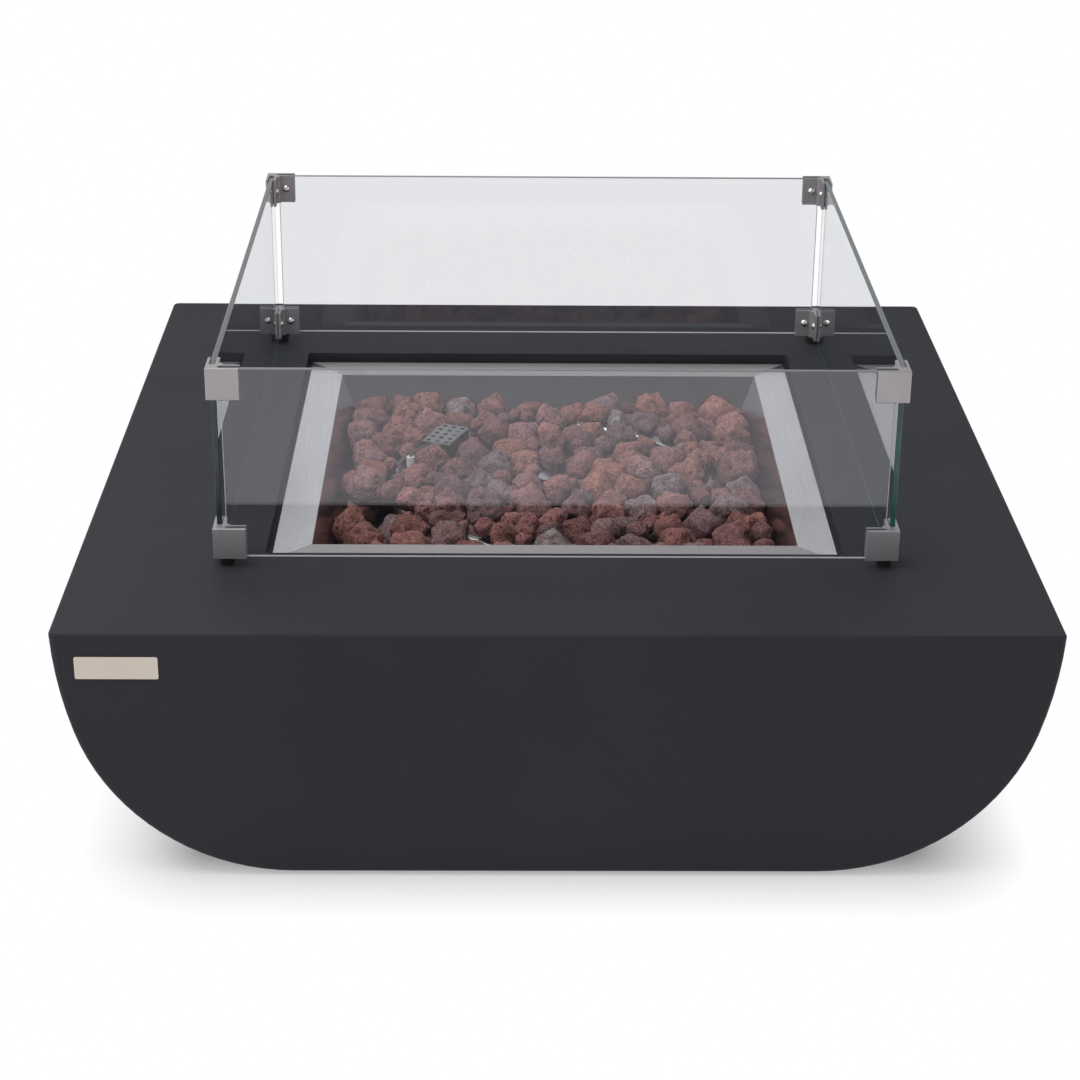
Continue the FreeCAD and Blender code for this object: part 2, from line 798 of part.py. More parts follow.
def spark_electrode():
    """The bent wire that leads from the ceramic sleeve in under the guard."""
    foot = Vector(insulator_x, insulator_y, pan_floor_z + (insulator_top_z - pan_floor_z) / 2)
    corner = Vector(insulator_x, insulator_y, insulator_top_z + electrode_rise)
    tip = electrode_tip()
    way = (tip - corner).normalize()
    enter = corner - Vector(0, 0, electrode_bend)
    leave = corner + way * electrode_bend
    inward = (way - up).normalize()
    middle = corner + inward * electrode_bend * (math.sqrt(2) - 1)
    route = Part.Wire([Part.makeLine(foot, enter), Part.Arc(enter, middle, leave).toShape(),
                       Part.makeLine(leave, tip)])
    ring = Part.Wire([Part.makeCircle(electrode_diameter / 2 - thread_fit, foot, up)])
    return route.makePipeShell([ring], True, False)


def electrode_holder():
    """A folded strip on the pan floor with a hole for the ceramic sleeve."""
    half = holder_width / 2
    x = insulator_x
    y = insulator_y
    shelf = box(x - half, x + half, y - half, y + half, holder_z, holder_z + guard_sheet)
    leg = box(x - half, x + half, y - half, y - half + guard_sheet, pan_floor_z, holder_z + guard_sheet)
    foot = box(x - half, x + half, y - half - guard_foot, y - half + guard_sheet,
               pan_floor_z, pan_floor_z + guard_sheet)
    hole = rod(insulator_diameter + 2 * thread_fit, 3 * guard_sheet, x, y, holder_z - guard_sheet, up)
    return joined([shelf, leg, foot]).cut(hole)


def nearest_on_segment(point, start, end):
    """The point of a straight line between two ends that lies nearest to a given point."""
    along = end - start
    share = (point - start).dot(along) / along.dot(along)
    return start + along * min(1, max(0, share))


def nearest_in_box(point, place, angle, low, high):
    """The point of a turned block, given by its corners in its own frame, nearest to a given point."""
    turn = FreeCAD.Rotation(up, angle)
    local = turn.inverted().multVec(point - place)
    inside = [min(high[i], max(low[i], local[i])) for i in range(3)]
    return turn.multVec(Vector(*inside)) + place


def burner_obstacles(point):
    """Every burner and pilot part as its nearest core point and its radius, seen from a given point."""
    found = []
    azimuth = math.atan2(point.y, point.x)
    for i in range(-ring_leans_each_way, ring_leans_each_way + 1):
        angle = azimuth + math.radians(ring_lean_step * i)
        on_ring = Vector(ring_radius * math.cos(angle), ring_radius * math.sin(angle), burner_z)
        found.append((on_ring, tube_radius + ring_margin))
    bar_start = Vector(0, -ring_radius, burner_z)
    bar_end = Vector(0, ring_radius, burner_z)
    found.append((nearest_on_segment(point, bar_start, bar_end), tube_radius))
    hub_low = Vector(0, 0, pan_floor_z)
    hub_high = Vector(0, 0, burner_z + hub_height / 2)
    hub_reach = max(hub_diameter, locknut_across_flats / math.cos(math.pi / 6)) / 2
    found.append((nearest_on_segment(point, hub_low, hub_high), hub_reach))
    found.append((nearest_in_box(point, Vector(guard_x, guard_y, 0), guard_turn,
                                 (-guard_length / 2, -guard_width / 2 - guard_sheet, pan_floor_z),
                                 (guard_length / 2, guard_width / 2 + guard_wing_reach, guard_top_z)), 0))
    sleeve_low = Vector(insulator_x, insulator_y, pan_floor_z)
    wire_low = Vector(insulator_x, insulator_y, insulator_top_z + electrode_rise)
    found.append((nearest_on_segment(point, sleeve_low, wire_low), insulator_diameter / 2))
    half = holder_width / 2
    found.append((nearest_in_box(point, sleeve_low, 0, (-half, -half - guard_foot, 0),
                                 (half, half, holder_rise + guard_sheet)), 0))
    found.append((nearest_on_segment(point, wire_low, electrode_tip()), electrode_diameter / 2))
    for i in range(saddle_count):
        found.append((nearest_in_box(point, middle_point, saddle_first_angle + 360 / saddle_count * i,
                                     (ring_radius - saddle_width / 2, 0, pan_floor_z),
                                     (ring_radius + saddle_width / 2, saddle_foot, saddle_top_z)), 0))
    return found


def pan_walls():
    """The planes of the pan's four walls and its floor, each as an outward normal and an offset."""
    slant = math.radians(pan_taper)
    half_floor = pan_opening / 2 - pan_depth * pan_slope
    planes = [(down, -(pan_floor_z + saddle_thickness + rock_gap))]
    for x, y in ((1, 0), (-1, 0), (0, 1), (0, -1)):
        normal = Vector(x * math.cos(slant), y * math.cos(slant), -math.sin(slant))
        foot = Vector(x * half_floor, y * half_floor, pan_floor_z)
        planes.append((normal, normal.dot(foot) - rock_gap))
    return planes


def sliced(faces, normal, offset):
    """The part of a convex body, given as its polygons, that lies behind a plane."""
    kept = []
    rim = []
    for face in faces:
        polygon = []
        for a, b in zip(face, face[1:] + face[:1]):
            above_a = a.dot(normal) - offset
            above_b = b.dot(normal) - offset
            if above_a <= 0:
                polygon.append(a)
            if above_a * above_b < 0:
                crossing = a + (b - a) * (above_a / (above_a - above_b))
                polygon.append(crossing)
                rim.append(crossing)
        if len(polygon) > 2:
            kept.append(polygon)
    if not rim:
        return kept
    return kept + [rim_polygon(rim, normal)]


def rim_polygon(rim, normal):
    """The cut face that closes a sliced body, from its corner points in any order."""
    middle = sum(rim, Vector()) * (1 / len(rim))
    across = (rim[0] - middle).normalize()
    aside = normal.cross(across)
    turned = sorted(rim, key=lambda p: math.atan2((p - middle).dot(aside), (p - middle).dot(across)))
    corners = []
    for point in turned:
        if not corners or point.distanceToPoint(corners[-1]) > 1e-6:
            corners.append(point)
    if corners[0].distanceToPoint(corners[-1]) < 1e-6:
        corners.pop()
    return corners


def shortest_edge(faces):
    """The length of the shortest edge of a body given as its polygons."""
    return min(a.distanceToPoint(b) for face in faces for a, b in zip(face, face[1:] + face[:1]))


def chipped(faces, normal, offset):
    """Slices a body with a plane, moved in a little at a time until no tiny edge is left."""
    for step in range(chip_tries):
        result = sliced(faces, normal, offset - chip_step * step)
        if len(result) > 3 and shortest_edge(result) > rock_shortest_edge:
            return result
    return None


def over_the_tube(x, y):
    """Whether a point in plan lies above the burner's ring or its cross tube."""
    off_ring = abs(math.hypot(x, y) - ring_radius)
    off_bar = abs(x) if abs(y) < ring_radius else off_ring
    return min(off_ring, off_bar) < tube_radius


def crumb_has_no_room(x, y):
    """Whether a crumb is unwanted: away from the burner's tube, or where a short bit of the ring shows."""
    angle = math.degrees(math.atan2(y, x))
    return not over_the_tube(x, y) or abs(angle - bare_tube_angle) < bare_tube_spread


def scattered_sites(radii, rise, scatter, covers, random_source):
    """Rock middles on one layer: the big ones first, then smaller ones, and at last crumbs over the tube."""
    sites = []
    half = pan_opening / 2 - (pan_depth - rise) * pan_slope
    for radius in radii:
        for _ in range(rock_tries):
            limit = half - radius * rock_overlap
            x = random_source.uniform(-limit, limit)
            y = random_source.uniform(-limit, limit)
            z = pan_floor_z + rise + random_source.uniform(-scatter, scatter)
            if any(math.hypot(x - s.x, y - s.y) < rock_overlap * (radius + r) for s, r in sites):
                continue
            if radius < crumb_radius and crumb_has_no_room(x, y):
                continue
            if covers and radius < cover_rock_radius and over_the_tube(x, y):
                z = burner_z + tube_radius + cover_rock_share * radius
            site = Vector(x, y, z)
            least = cover_rock_share * radius
            if all(site.distanceToPoint(core) >= reach + least for core, reach in burner_obstacles(site)):
                sites.append((site, radius))
    return sites


def rock(site, radius, sites, random_source):
    """One faceted rock: the room between its neighbours, walls and burner parts, with its corners chipped."""
    x, y, z = site
    reach = rock_reach * radius
    faces = [[Vector(x - reach, y - reach, z + s * reach), Vector(x - reach, y + reach, z + s * reach),
              Vector(x + reach, y + reach, z + s * reach), Vector(x + reach, y - reach, z + s * reach)]
             for s in (-1, 1)]
    for a, b in (((-1, -1), (1, -1)), ((1, -1), (1, 1)), ((1, 1), (-1, 1)), ((-1, 1), (-1, -1))):
        faces.append([Vector(x + a[0] * reach, y + a[1] * reach, z - reach),
                      Vector(x + b[0] * reach, y + b[1] * reach, z - reach),
                      Vector(x + b[0] * reach, y + b[1] * reach, z + reach),
                      Vector(x + a[0] * reach, y + a[1] * reach, z + reach)])
    planes = list(pan_walls())
    for core, core_radius in burner_obstacles(site):
        way = core - site
        gap = way.Length
        if gap < reach + core_radius:
            way = way * (1 / gap)
            planes.append((way, way.dot(core) - core_radius - rock_gap))
    for other, other_radius in sites:
        way = other - site
        gap = way.Length
        if near < gap < reach + other_radius:
            share = (gap + (radius * radius - other_radius * other_radius) / gap) / 2
            planes.append((way * (1 / gap), way.dot(site) / gap + share - rock_gap / 2))
    golden = math.pi * (3 - math.sqrt(5))
    spin = random_source.uniform(0, math.tau)
    for i in range(rock_facets):
        height = 1 - (2 * i + 1) / rock_facets
        ring = math.sqrt(1 - height * height)
        normal = Vector(ring * math.cos(spin + golden * i), ring * math.sin(spin + golden * i), height)
        distance = radius * (1 + random_source.uniform(-rock_roughness, rock_roughness))
        planes.append((normal, normal.dot(site) + distance))
    for normal, offset in planes:
        faces = chipped(faces, normal, offset)
        if faces is None:
            return None
    shell = Part.Shell([Part.Face(Part.makePolygon(face + face[:1])) for face in faces])
    shell.sewShape()
    body = Part.Solid(shell)
    if body.Volume < 0:
        body.reverse()
    return body


def lava_rocks(own_sites, all_sites, random_source):
    """The rocks of one layer, each a solid of its own that nearly touches its neighbours."""
    rocks = []
    for site, radius in own_sites:
        body = rock(site, radius, all_sites, random_source)
        if body is not None:
            rocks.append(body)
    return Part.Compound(rocks)


def control_panel():
    """The steel plate on the back face that carries the valve and the igniter."""
    plate = rounded_block(panel_width, panel_height, panel_thickness, panel_round, 0, 0, 0)
    plate.rotate(middle_point, right, 90)
    plate.translate(Vector(panel_x, panel_face_y, panel_z))
    start_y = table_back - panel_thickness
    length = 3 * panel_thickness
    cuts = [rod(valve_neck_diameter + 2 * thread_fit, length, valve_x, start_y, gas_line_z, back),
            rod(igniter_diameter + 2 * thread_fit, length, igniter_x, start_y, gas_line_z, back)]
    for x, z in panel_screw_places():
        cuts.append(rod(panel_screw_diameter + 2 * thread_fit, length, x, start_y, z, back))
    return plate.cut(cuts)


def panel_inserts():
    """Four brass sleeves cast into the back wall for the panel screws."""
    inserts = []
    for x, z in panel_screw_places():
        sleeve = rod(insert_diameter, insert_length, x, table_back, z, front)
        inserts.append(sleeve.cut(rod(panel_screw_diameter, panel_screw_length, x, table_back, z, front)))
    return Part.Compound(inserts)


def panel_screws():
    """Four dome-headed screws through the corners of the gas panel."""
    screws = []
    for x, z in panel_screw_places():
        shank = rod(panel_screw_diameter, panel_screw_length + panel_thickness, x,
                    table_back - panel_screw_length, z, back)
        head = dome(panel_screw_head, panel_screw_dome, Vector(x, panel_face_y, z), back)
        screws.append(joined([shank, head]))
    return Part.Compound(screws)


def gas_valve():
    """The valve body with its flange behind the panel, its threaded neck, its outlet and its inlet boss."""
    half_w = valve_width / 2
    half_h = valve_height / 2
    block = box(valve_x - half_w, valve_x + half_w, valve_back_y, table_back - valve_flange_thickness,
                gas_line_z - half_h, gas_line_z + half_h)
    long_edges = [e for e in block.Edges if abs(e.tangentAt(e.FirstParameter).y) > 0.9]
    block = block.makeFillet(valve_round, long_edges)
    flange = rod(valve_flange_diameter, valve_flange_thickness, valve_x, table_back - valve_flange_thickness,
                 gas_line_z, back)
    neck = rod(valve_neck_diameter, neck_end_y - table_back, valve_x, table_back, gas_line_z, back)
    outlet = rod(spigot_diameter - 2 * thread_fit, spigot_length, valve_x, valve_back_y, gas_line_z, front)
    boss = rod(inlet_boss_diameter, inlet_boss_height, valve_x, inlet_y, gas_line_z - half_h, down)
    body = joined([block, flange, neck, outlet, boss])
    stem_hole = rod(stem_diameter + 2 * stem_fit, valve_length, valve_x, stem_end_y - knob_travel - stem_fit,
                    gas_line_z, back)
    outlet_bore = rod(line_bore, spigot_length + half_w, valve_x, valve_back_y - spigot_length, gas_line_z,
                      back)
    inlet_socket = rod(spigot_diameter, inlet_boss_height, valve_x, inlet_y, gas_line_z - half_h,
                       down)
    inlet_way = rod(inlet_bore, half_h, valve_x, inlet_y, gas_line_z, down)
    return body.cut([stem_hole, outlet_bore, inlet_socket, inlet_way])


def gas_inlet():
    """The flared fitting that points down, on which the supply hose screws."""
    top_z = gas_line_z - valve_height / 2
    plug = rod(spigot_diameter - 2 * thread_fit, inlet_boss_height, valve_x, inlet_y, top_z, down)
    hex_z = top_z - inlet_boss_height
    collar = hexagon(inlet_hex, inlet_hex_height, valve_x, inlet_y, hex_z, down)
    thread = rod(inlet_thread_diameter, inlet_thread_length, valve_x, inlet_y, hex_z - inlet_hex_height,
                 down)
    nose_z = hex_z - inlet_hex_height - inlet_thread_length
    nose = Part.makeCone(inlet_thread_diameter / 2, inlet_bore / 2 + inlet_nose_rim, inlet_nose_length,
                         Vector(valve_x, inlet_y, nose_z), down)
    whole = joined([plug, collar, thread, nose])
    length = inlet_boss_height + inlet_hex_height + inlet_thread_length + inlet_nose_length
    return whole.cut(rod(inlet_bore, length, valve_x, inlet_y, top_z, down))


def valve_nut():
    """The nut on the valve's neck, in front of the panel."""
    nut = hexagon(valve_nut_across_flats, valve_nut_height, valve_x, panel_face_y, gas_line_z, back)
    return nut.cut(rod(valve_neck_diameter + 2 * thread_fit, valve_nut_height, valve_x, panel_face_y,
                       gas_line_z, back))


def valve_stem():
    """The valve's turning stem, with a flat where the knob sits on it."""
    length = hub_face_y + knob_bore_depth - stem_end_y
    stem = rod(stem_diameter, length, valve_x, stem_end_y, gas_line_z, back)
    flat_z = gas_line_z + stem_diameter / 2 - stem_flat
    flat = box(valve_x - stem_diameter, valve_x + stem_diameter, hub_face_y,
               hub_face_y + knob_bore_depth + cut_past, flat_z, flat_z + stem_diameter)
    return stem.cut(flat)


def stem_collar():
    """The thin washer between the knob and the neck that goes in with the stem when it is pushed."""
    ring = rod(collar_diameter, collar_thickness, valve_x, collar_y, gas_line_z, back)
    return ring.cut(rod(stem_diameter + 2 * stem_fit, collar_thickness, valve_x, collar_y, gas_line_z, back))


def control_knob():
    """A round knob with a raised grip, hollow behind so that it clears the nut."""
    disc_height = knob_height - knob_grip_height
    disc = rod(knob_diameter, disc_height, valve_x, knob_y, gas_line_z, back)
    rim = [edge for edge in disc.Edges if edge.BoundBox.YMin > knob_y + disc_height - near]
    disc = disc.makeFillet(knob_round, rim)
    grip = rod(knob_diameter - 2 * knob_round, knob_height, valve_x, knob_y, gas_line_z, back)
    slab = box(valve_x - knob_grip_width / 2, valve_x + knob_grip_width / 2, knob_y, knob_y + knob_height,
               gas_line_z - knob_diameter, gas_line_z + knob_diameter)
    grip = grip.common(slab)
    edges = [edge for edge in grip.Edges if edge.BoundBox.YMin > knob_y + knob_height - near]
    grip = grip.makeFillet(knob_round, edges)
    knob = joined([disc, grip])
    hollow = rod(knob_hollow_diameter, hub_face_y - knob_y, valve_x, knob_y, gas_line_z, back)
    bore = rod(stem_diameter + 2 * stem_fit, knob_bore_depth + stem_fit, valve_x, hub_face_y, gas_line_z,
               back)
    flat_z = gas_line_z + stem_diameter / 2 - stem_flat + stem_fit
    bore = bore.cut(box(valve_x - stem_diameter, valve_x + stem_diameter, hub_face_y,
                        hub_face_y + 2 * knob_bore_depth, flat_z, flat_z + stem_diameter))
    mark_y = knob_y + knob_height - pointer_depth
    mark = box(valve_x - pointer_width / 2, valve_x + pointer_width / 2, mark_y, mark_y + 2 * pointer_depth,
               gas_line_z + knob_diameter / 2 - knob_round - pointer_length, gas_line_z + knob_diameter)
    return knob.cut([hollow, bore, mark])


def igniter_housing():
    """The igniter's tube through the panel, with its front bezel and bores for the button and the battery."""
    end_y = panel_face_y - igniter_length
    tube = rod(igniter_diameter, igniter_length, igniter_x, end_y, gas_line_z, back)
    bezel = rod(igniter_bezel_diameter, igniter_bezel_height, igniter_x, panel_face_y, gas_line_z, back)
    rim = [edge for edge in bezel.Edges if edge.BoundBox.YMin > bezel_y - near]
    bezel = bezel.makeFillet(bezel_round, rim)
    button_bore = rod(button_diameter + 2 * button_fit, bezel_y - button_bore_end_y, igniter_x,
                      button_bore_end_y, gas_line_z, back)
    battery_y = button_bore_end_y - battery_length
    battery_hole = rod(battery_bore, battery_length, igniter_x, battery_y, gas_line_z, back)
    return joined([tube, bezel]).cut([button_bore, battery_hole])


def igniter_battery():
    """The battery inside the igniter's tube, with its contact cap."""
    cap = battery_length * battery_cap_share
    start_y = button_bore_end_y - battery_length
    body = rod(battery_diameter, battery_length - cap, igniter_x, start_y, gas_line_z, back)
    tip = rod(battery_diameter * battery_tip_share, cap - button_fit, igniter_x,
              start_y + battery_length - cap, gas_line_z, back)
    return joined([body, tip])


def igniter_button():
    """The push button in the igniter's bezel."""
    button = rod(button_diameter, button_length, igniter_x, button_back_y, gas_line_z, back)
    rim = [edge for edge in button.Edges if edge.BoundBox.YMin > bezel_y + button_proud - near]
    return button.makeFillet(button_round, rim)


def igniter_nut():
    """The ring nut that holds the igniter behind the panel."""
    nut = hexagon(igniter_nut_across_flats, igniter_nut_thickness, igniter_x,
                  table_back - igniter_nut_thickness, gas_line_z, back)
    return nut.cut(rod(igniter_diameter + 2 * thread_fit, igniter_nut_thickness, igniter_x,
                       table_back - igniter_nut_thickness, gas_line_z, back))


def igniter_terminals():
    """Two flat tabs on the end of the igniter for its lead and its earth."""
    tabs = []
    end_y = panel_face_y - igniter_length
    for side in (-1, 1):
        x = igniter_x + side * igniter_diameter / 4
        tabs.append(box(x - terminal_width / 2, x + terminal_width / 2, end_y - terminal_length, end_y,
                        gas_line_z - terminal_thickness / 2, gas_line_z + terminal_thickness / 2))
    return Part.Compound(tabs)


def placed_on_screen(shape, turns):
    """Turns a shape by quarter turns about the middle of the wind screen and moves it to its place."""
    shape.rotate(middle_point, up, 90 * turns)
    shape.translate(Vector(0, screen_back_shift, 0))
    return shape


def glass_panel(turns):
    """One glass panel of the wind screen, drawn at the front and turned by quarter turns."""
    half = screen_half - glass_end_gap
    face_y = clip_outer_wall + liner_thickness - screen_half
    low = clip_bottom_z + glass_lift
    pane = box(-half, half, face_y, face_y + glass_thickness, low, low + glass_height)
    pane = pane.makeChamfer(glass_edge_chamfer, pane.Edges)
    return placed_on_screen(pane, turns)


def slot_middle():
    """The middle of the slot, measured from the outer face of an arm."""
    return clip_outer_wall + slot_width / 2


def clip_slots():
    """The two glass slots of a corner clip, which start round and run out through the arms' ends."""
    middle = slot_middle()
    start = slot_end + slot_width / 2
    far = clip_arm + cut_past
    low = -cut_past
    high = clip_height + cut_past
    slots = [rod(slot_width, high - low, start, middle, low, up),
             box(start, far, clip_outer_wall, clip_outer_wall + slot_width, low, high),
             rod(slot_width, high - low, middle, start, low, up),
             box(clip_outer_wall, clip_outer_wall + slot_width, start, far, low, high)]
    return slots


def foot_bolt_hole():
    """How deep the foot bolt goes into a clip."""
    return foot_bolt_length - (screen_foot_height - foot_bolt_well - foot_bolt_head_height)


def placed_at_corner(shape, turns, z):
    """Moves a shape drawn on the front left corner, its outer edge at the origin, to one corner."""
    shape.translate(Vector(-screen_half, -screen_half, z))
    return placed_on_screen(shape, turns)


def corner_clip(turns, z):
    """A cast corner clip: two arms at a right angle, each with a slot for a panel and a screw hole."""
    arm_a = box(0, clip_arm, 0, arm_thickness, 0, clip_height)
    arm_b = box(0, arm_thickness, 0, clip_arm, 0, clip_height)
    boss = rod(foot_boss_diameter, clip_height, screen_foot_inset, screen_foot_inset, 0, up)
    clip = joined([arm_a, arm_b, boss])
    outer_edges = []
    for edge in clip.Edges:
        limits = edge.BoundBox
        if limits.XMax < near or limits.YMax < near:
            outer_edges.append(edge)
    clip = clip.makeFillet(clip_edge_round, outer_edges)
    middle = clip_height / 2
    holes = [rod(clip_screw_diameter, arm_thickness, screw_along_arm, slot_middle(), middle, back),
             rod(clip_screw_diameter, arm_thickness, slot_middle(), screw_along_arm, middle, right),
             rod(foot_bolt_diameter, foot_bolt_hole(), screen_foot_inset, screen_foot_inset, 0, up)]
    return placed_at_corner(clip.cut(clip_slots() + holes), turns, z)


def clip_screws():
    """The domed screws that press the panels into the clips, two in each clip."""
    screws = []
    start = clip_outer_wall + slot_width
    middle = clip_height / 2
    for z in (clip_bottom_z, clip_bottom_z + screen_height - clip_height):
        for turns in range(4):
            for flip in (False, True):
                shank = rod(clip_screw_diameter, clip_inner_wall, screw_along_arm, start, middle, back)
                seat = Vector(screw_along_arm, arm_thickness, middle)
                head = dome(clip_screw_head, clip_screw_dome, seat, back)
                screw = joined([shank, head])
                if flip:
                    screw = screw.mirror(middle_point, Vector(1, -1, 0))
                screws.append(placed_at_corner(screw, turns, z))
    return Part.Compound(screws)


def slot_liners():
    """Thin rubber strips on both sides of the glass in every slot."""
    liners = []
    low = (clip_height - liner_height) / 2
    start = slot_end + slot_width / 2 + liner_margin
    for z in (clip_bottom_z, clip_bottom_z + screen_height - clip_height):
        for turns in range(4):
            for flip in (False, True):
                for y in (clip_outer_wall, clip_outer_wall + slot_width - liner_thickness):
                    strip = box(start, clip_arm - liner_margin, y, y + liner_thickness,
                                low, low + liner_height)
                    if flip:
                        strip = strip.mirror(middle_point, Vector(1, -1, 0))
                    liners.append(placed_at_corner(strip, turns, z))
    return Part.Compound(liners)


def foot_bolt():
    """The bolt that holds a rubber foot under a clip, drawn from the clip's underside."""
    head_z = foot_bolt_well - screen_foot_height
    head = rod(foot_bolt_head, foot_bolt_head_height, screen_foot_inset, screen_foot_inset, head_z, up)
    shank = rod(foot_bolt_diameter, foot_bolt_length, screen_foot_inset, screen_foot_inset,
                head_z + foot_bolt_head_height, up)
    return joined([head, shank])


def screen_feet():
    """Four tapered rubber feet under the lower clips."""
    feet = []
    for turns in range(4):
        foot = Part.makeCone(screen_foot_bottom / 2, screen_foot_top / 2, screen_foot_height,
                             Vector(screen_foot_inset, screen_foot_inset, -screen_foot_height), up)
        well = rod(foot_bolt_head, foot_bolt_well, screen_foot_inset, screen_foot_inset,
                   -screen_foot_height, up)
        feet.append(placed_at_corner(foot.cut([foot_bolt(), well]), turns, clip_bottom_z))
    return Part.Compound(feet)


def foot_bolts():
    """The four bolts of the rubber feet."""
    return Part.Compound([placed_at_corner(foot_bolt(), turns, clip_bottom_z) for turns in range(4)])


os.makedirs("parts", exist_ok=True)

save("table_body", table_body())
save("foot_pads", foot_pads())
save("foot_screws", foot_screws())
save("name_plate", name_plate())
save("burner_pan", burner_pan())
save("burner_ring", burner_ring())
save("burner_saddles", burner_saddles())
save("inlet_nipple", inlet_nipple())
save("inlet_locknuts", inlet_locknuts())
save("air_mixer", air_mixer())
save("inlet_elbow", inlet_elbow())
save("gas_pipe", gas_pipe())
save("pipe_nuts", pipe_nuts())
save("pilot_guard", pilot_guard())
save("pilot_rivets", pilot_rivets())
save("pilot_bracket", pilot_bracket())
save("thermocouple", thermocouple())
save("electrode_insulator", electrode_insulator())
save("spark_electrode", spark_electrode())
save("electrode_holder", electrode_holder())
save("control_panel", control_panel())
save("panel_inserts", panel_inserts())
save("panel_screws", panel_screws())
save("gas_valve", gas_valve())
save("gas_inlet", gas_inlet())
save("valve_nut", valve_nut())
save("valve_stem", valve_stem())
save("stem_collar", stem_collar())
save("control_knob", control_knob())
save("igniter_housing", igniter_housing())
save("igniter_battery", igniter_battery())
save("igniter_button", igniter_button())
save("igniter_nut", igniter_nut())
save("igniter_terminals", igniter_terminals())

rock_source = random.Random(rock_seed)
bed_sites = scattered_sites(bed_rock_radii, bed_rock_rise, bed_rock_scatter, False, rock_source)
top_sites = scattered_sites(top_rock_radii, top_rock_rise, top_rock_scatter, True, rock_source)
save("lava_bed", lava_rocks(bed_sites, bed_sites + top_sites, rock_source))
save("lava_rocks", lava_rocks(top_sites, bed_sites + top_sites, rock_source))

for turns, side in enumerate(("front", "right", "back", "left")):
    save("glass_" + side, glass_panel(turns))
for turns, corner in enumerate(("front_left", "front_right", "back_right", "back_left")):
    save("lower_clip_" + corner, corner_clip(turns, clip_bottom_z))
    save("upper_clip_" + corner, corner_clip(turns, clip_bottom_z + screen_height - clip_height))
save("clip_screws", clip_screws())
save("slot_liners", slot_liners())
save("screen_feet", screen_feet())
save("foot_bolts", foot_bolts())
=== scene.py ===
# %% [markdown]
# # A fire pit table
# The real object is a low square table of dark concrete. A steel pan full of lava rock sits in its top, and
# a loose glass wind screen with cast corner clips stands round the fire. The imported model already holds
# every solid at its real size. Here it gets its looks: a finish for each solid, and lumpy, porous rocks in
# place of the faceted ones. All sizes are metres. X runs to the right, Y to the back and Z up, and z = 0 is
# the ground.

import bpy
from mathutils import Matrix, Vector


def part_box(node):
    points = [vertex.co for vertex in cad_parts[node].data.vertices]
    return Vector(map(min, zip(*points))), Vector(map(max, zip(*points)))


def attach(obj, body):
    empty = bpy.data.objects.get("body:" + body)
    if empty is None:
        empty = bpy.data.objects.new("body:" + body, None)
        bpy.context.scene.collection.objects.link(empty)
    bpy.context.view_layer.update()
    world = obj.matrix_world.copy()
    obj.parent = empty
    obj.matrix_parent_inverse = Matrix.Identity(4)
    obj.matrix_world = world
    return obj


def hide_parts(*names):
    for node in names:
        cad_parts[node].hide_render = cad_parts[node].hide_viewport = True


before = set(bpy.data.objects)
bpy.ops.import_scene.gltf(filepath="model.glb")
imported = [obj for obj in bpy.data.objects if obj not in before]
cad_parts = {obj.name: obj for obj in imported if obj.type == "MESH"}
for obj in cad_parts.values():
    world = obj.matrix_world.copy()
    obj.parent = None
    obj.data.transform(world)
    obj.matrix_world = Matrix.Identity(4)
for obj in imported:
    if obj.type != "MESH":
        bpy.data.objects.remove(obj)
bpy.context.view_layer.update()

# %% [markdown]
# Two tools do the work. The module bpy holds the finishes and the meshes, and numpy works out a whole
# surface at once.

import bpy
import numpy as np
from mathutils import Matrix

print("bpy", bpy.app.version_string, "and numpy", np.__version__)

# %% [markdown]
# ## Helpers for finishes
# A finish is a tree of nodes. It could be drawn by hand in the node editor, but a script builds the same
# tree each time it runs. The first helper makes a material with one Principled shader. The second adds a
# node, sets its values and plugs other nodes into its inputs. The third plugs a node into the shader.

# %% A finish and its nodes


def finish(name, colour, roughness, metallic=0.0, specular=0.5):
    """A material with one Principled shader: its colour, roughness, share of metal and strength of shine."""
    made = bpy.data.materials.new(name)
    made.use_nodes = True
    shader = made.node_tree.nodes["Principled BSDF"]
    shader.inputs["Base Color"].default_value = (*colour, 1)
    shader.inputs["Roughness"].default_value = roughness
    shader.inputs["Metallic"].default_value = metallic
    shader.inputs["Specular IOR Level"].default_value = specular
    return made


def node(made, kind, inputs=None, **settings):
    """Adds a node: settings are its own, and inputs holds a value or another node's output by name."""
    added = made.node_tree.nodes.new("ShaderNode" + kind)
    for name, value in settings.items():
        setattr(added, name, value)
    for name, value in (inputs or {}).items():
        socket = added.inputs[name]
        if isinstance(value, bpy.types.NodeSocket):
            made.node_tree.links.new(value, socket)
        else:
            socket.default_value = value
    return added


def plug(made, output, name):
    """Plugs a node's output into the material's Principled shader."""
    made.node_tree.links.new(output, made.node_tree.nodes["Principled BSDF"].inputs[name])


print("ready:", ", ".join(helper.__name__ for helper in (finish, node, plug)))

# %% [markdown]
# Patterns could come from a picture laid over the piece. Here they start from the surface point in metres,
# so they keep their real size on every piece. Noise gives cloudy values, and scattered spots give holes.

# %% Patterns on a surface


def place(made, stretch=(1, 1, 1)):
    """The surface point in metres, in the object's own frame, stretched along each axis."""
    coordinates = node(made, "TexCoord")
    mapped = node(made, "Mapping", {"Vector": coordinates.outputs["Object"], "Scale": stretch})
    return mapped.outputs["Vector"]


def noise(made, size, detail=3.0, stretch=(1, 1, 1), rough=0.5):
    """Cloudy noise whose blobs are about size metres wide."""
    cloudy = node(made, "TexNoise", {"Vector": place(made, stretch), "Scale": 1 / size, "Detail": detail,
                                     "Roughness": rough})
    return cloudy.outputs["Fac"]


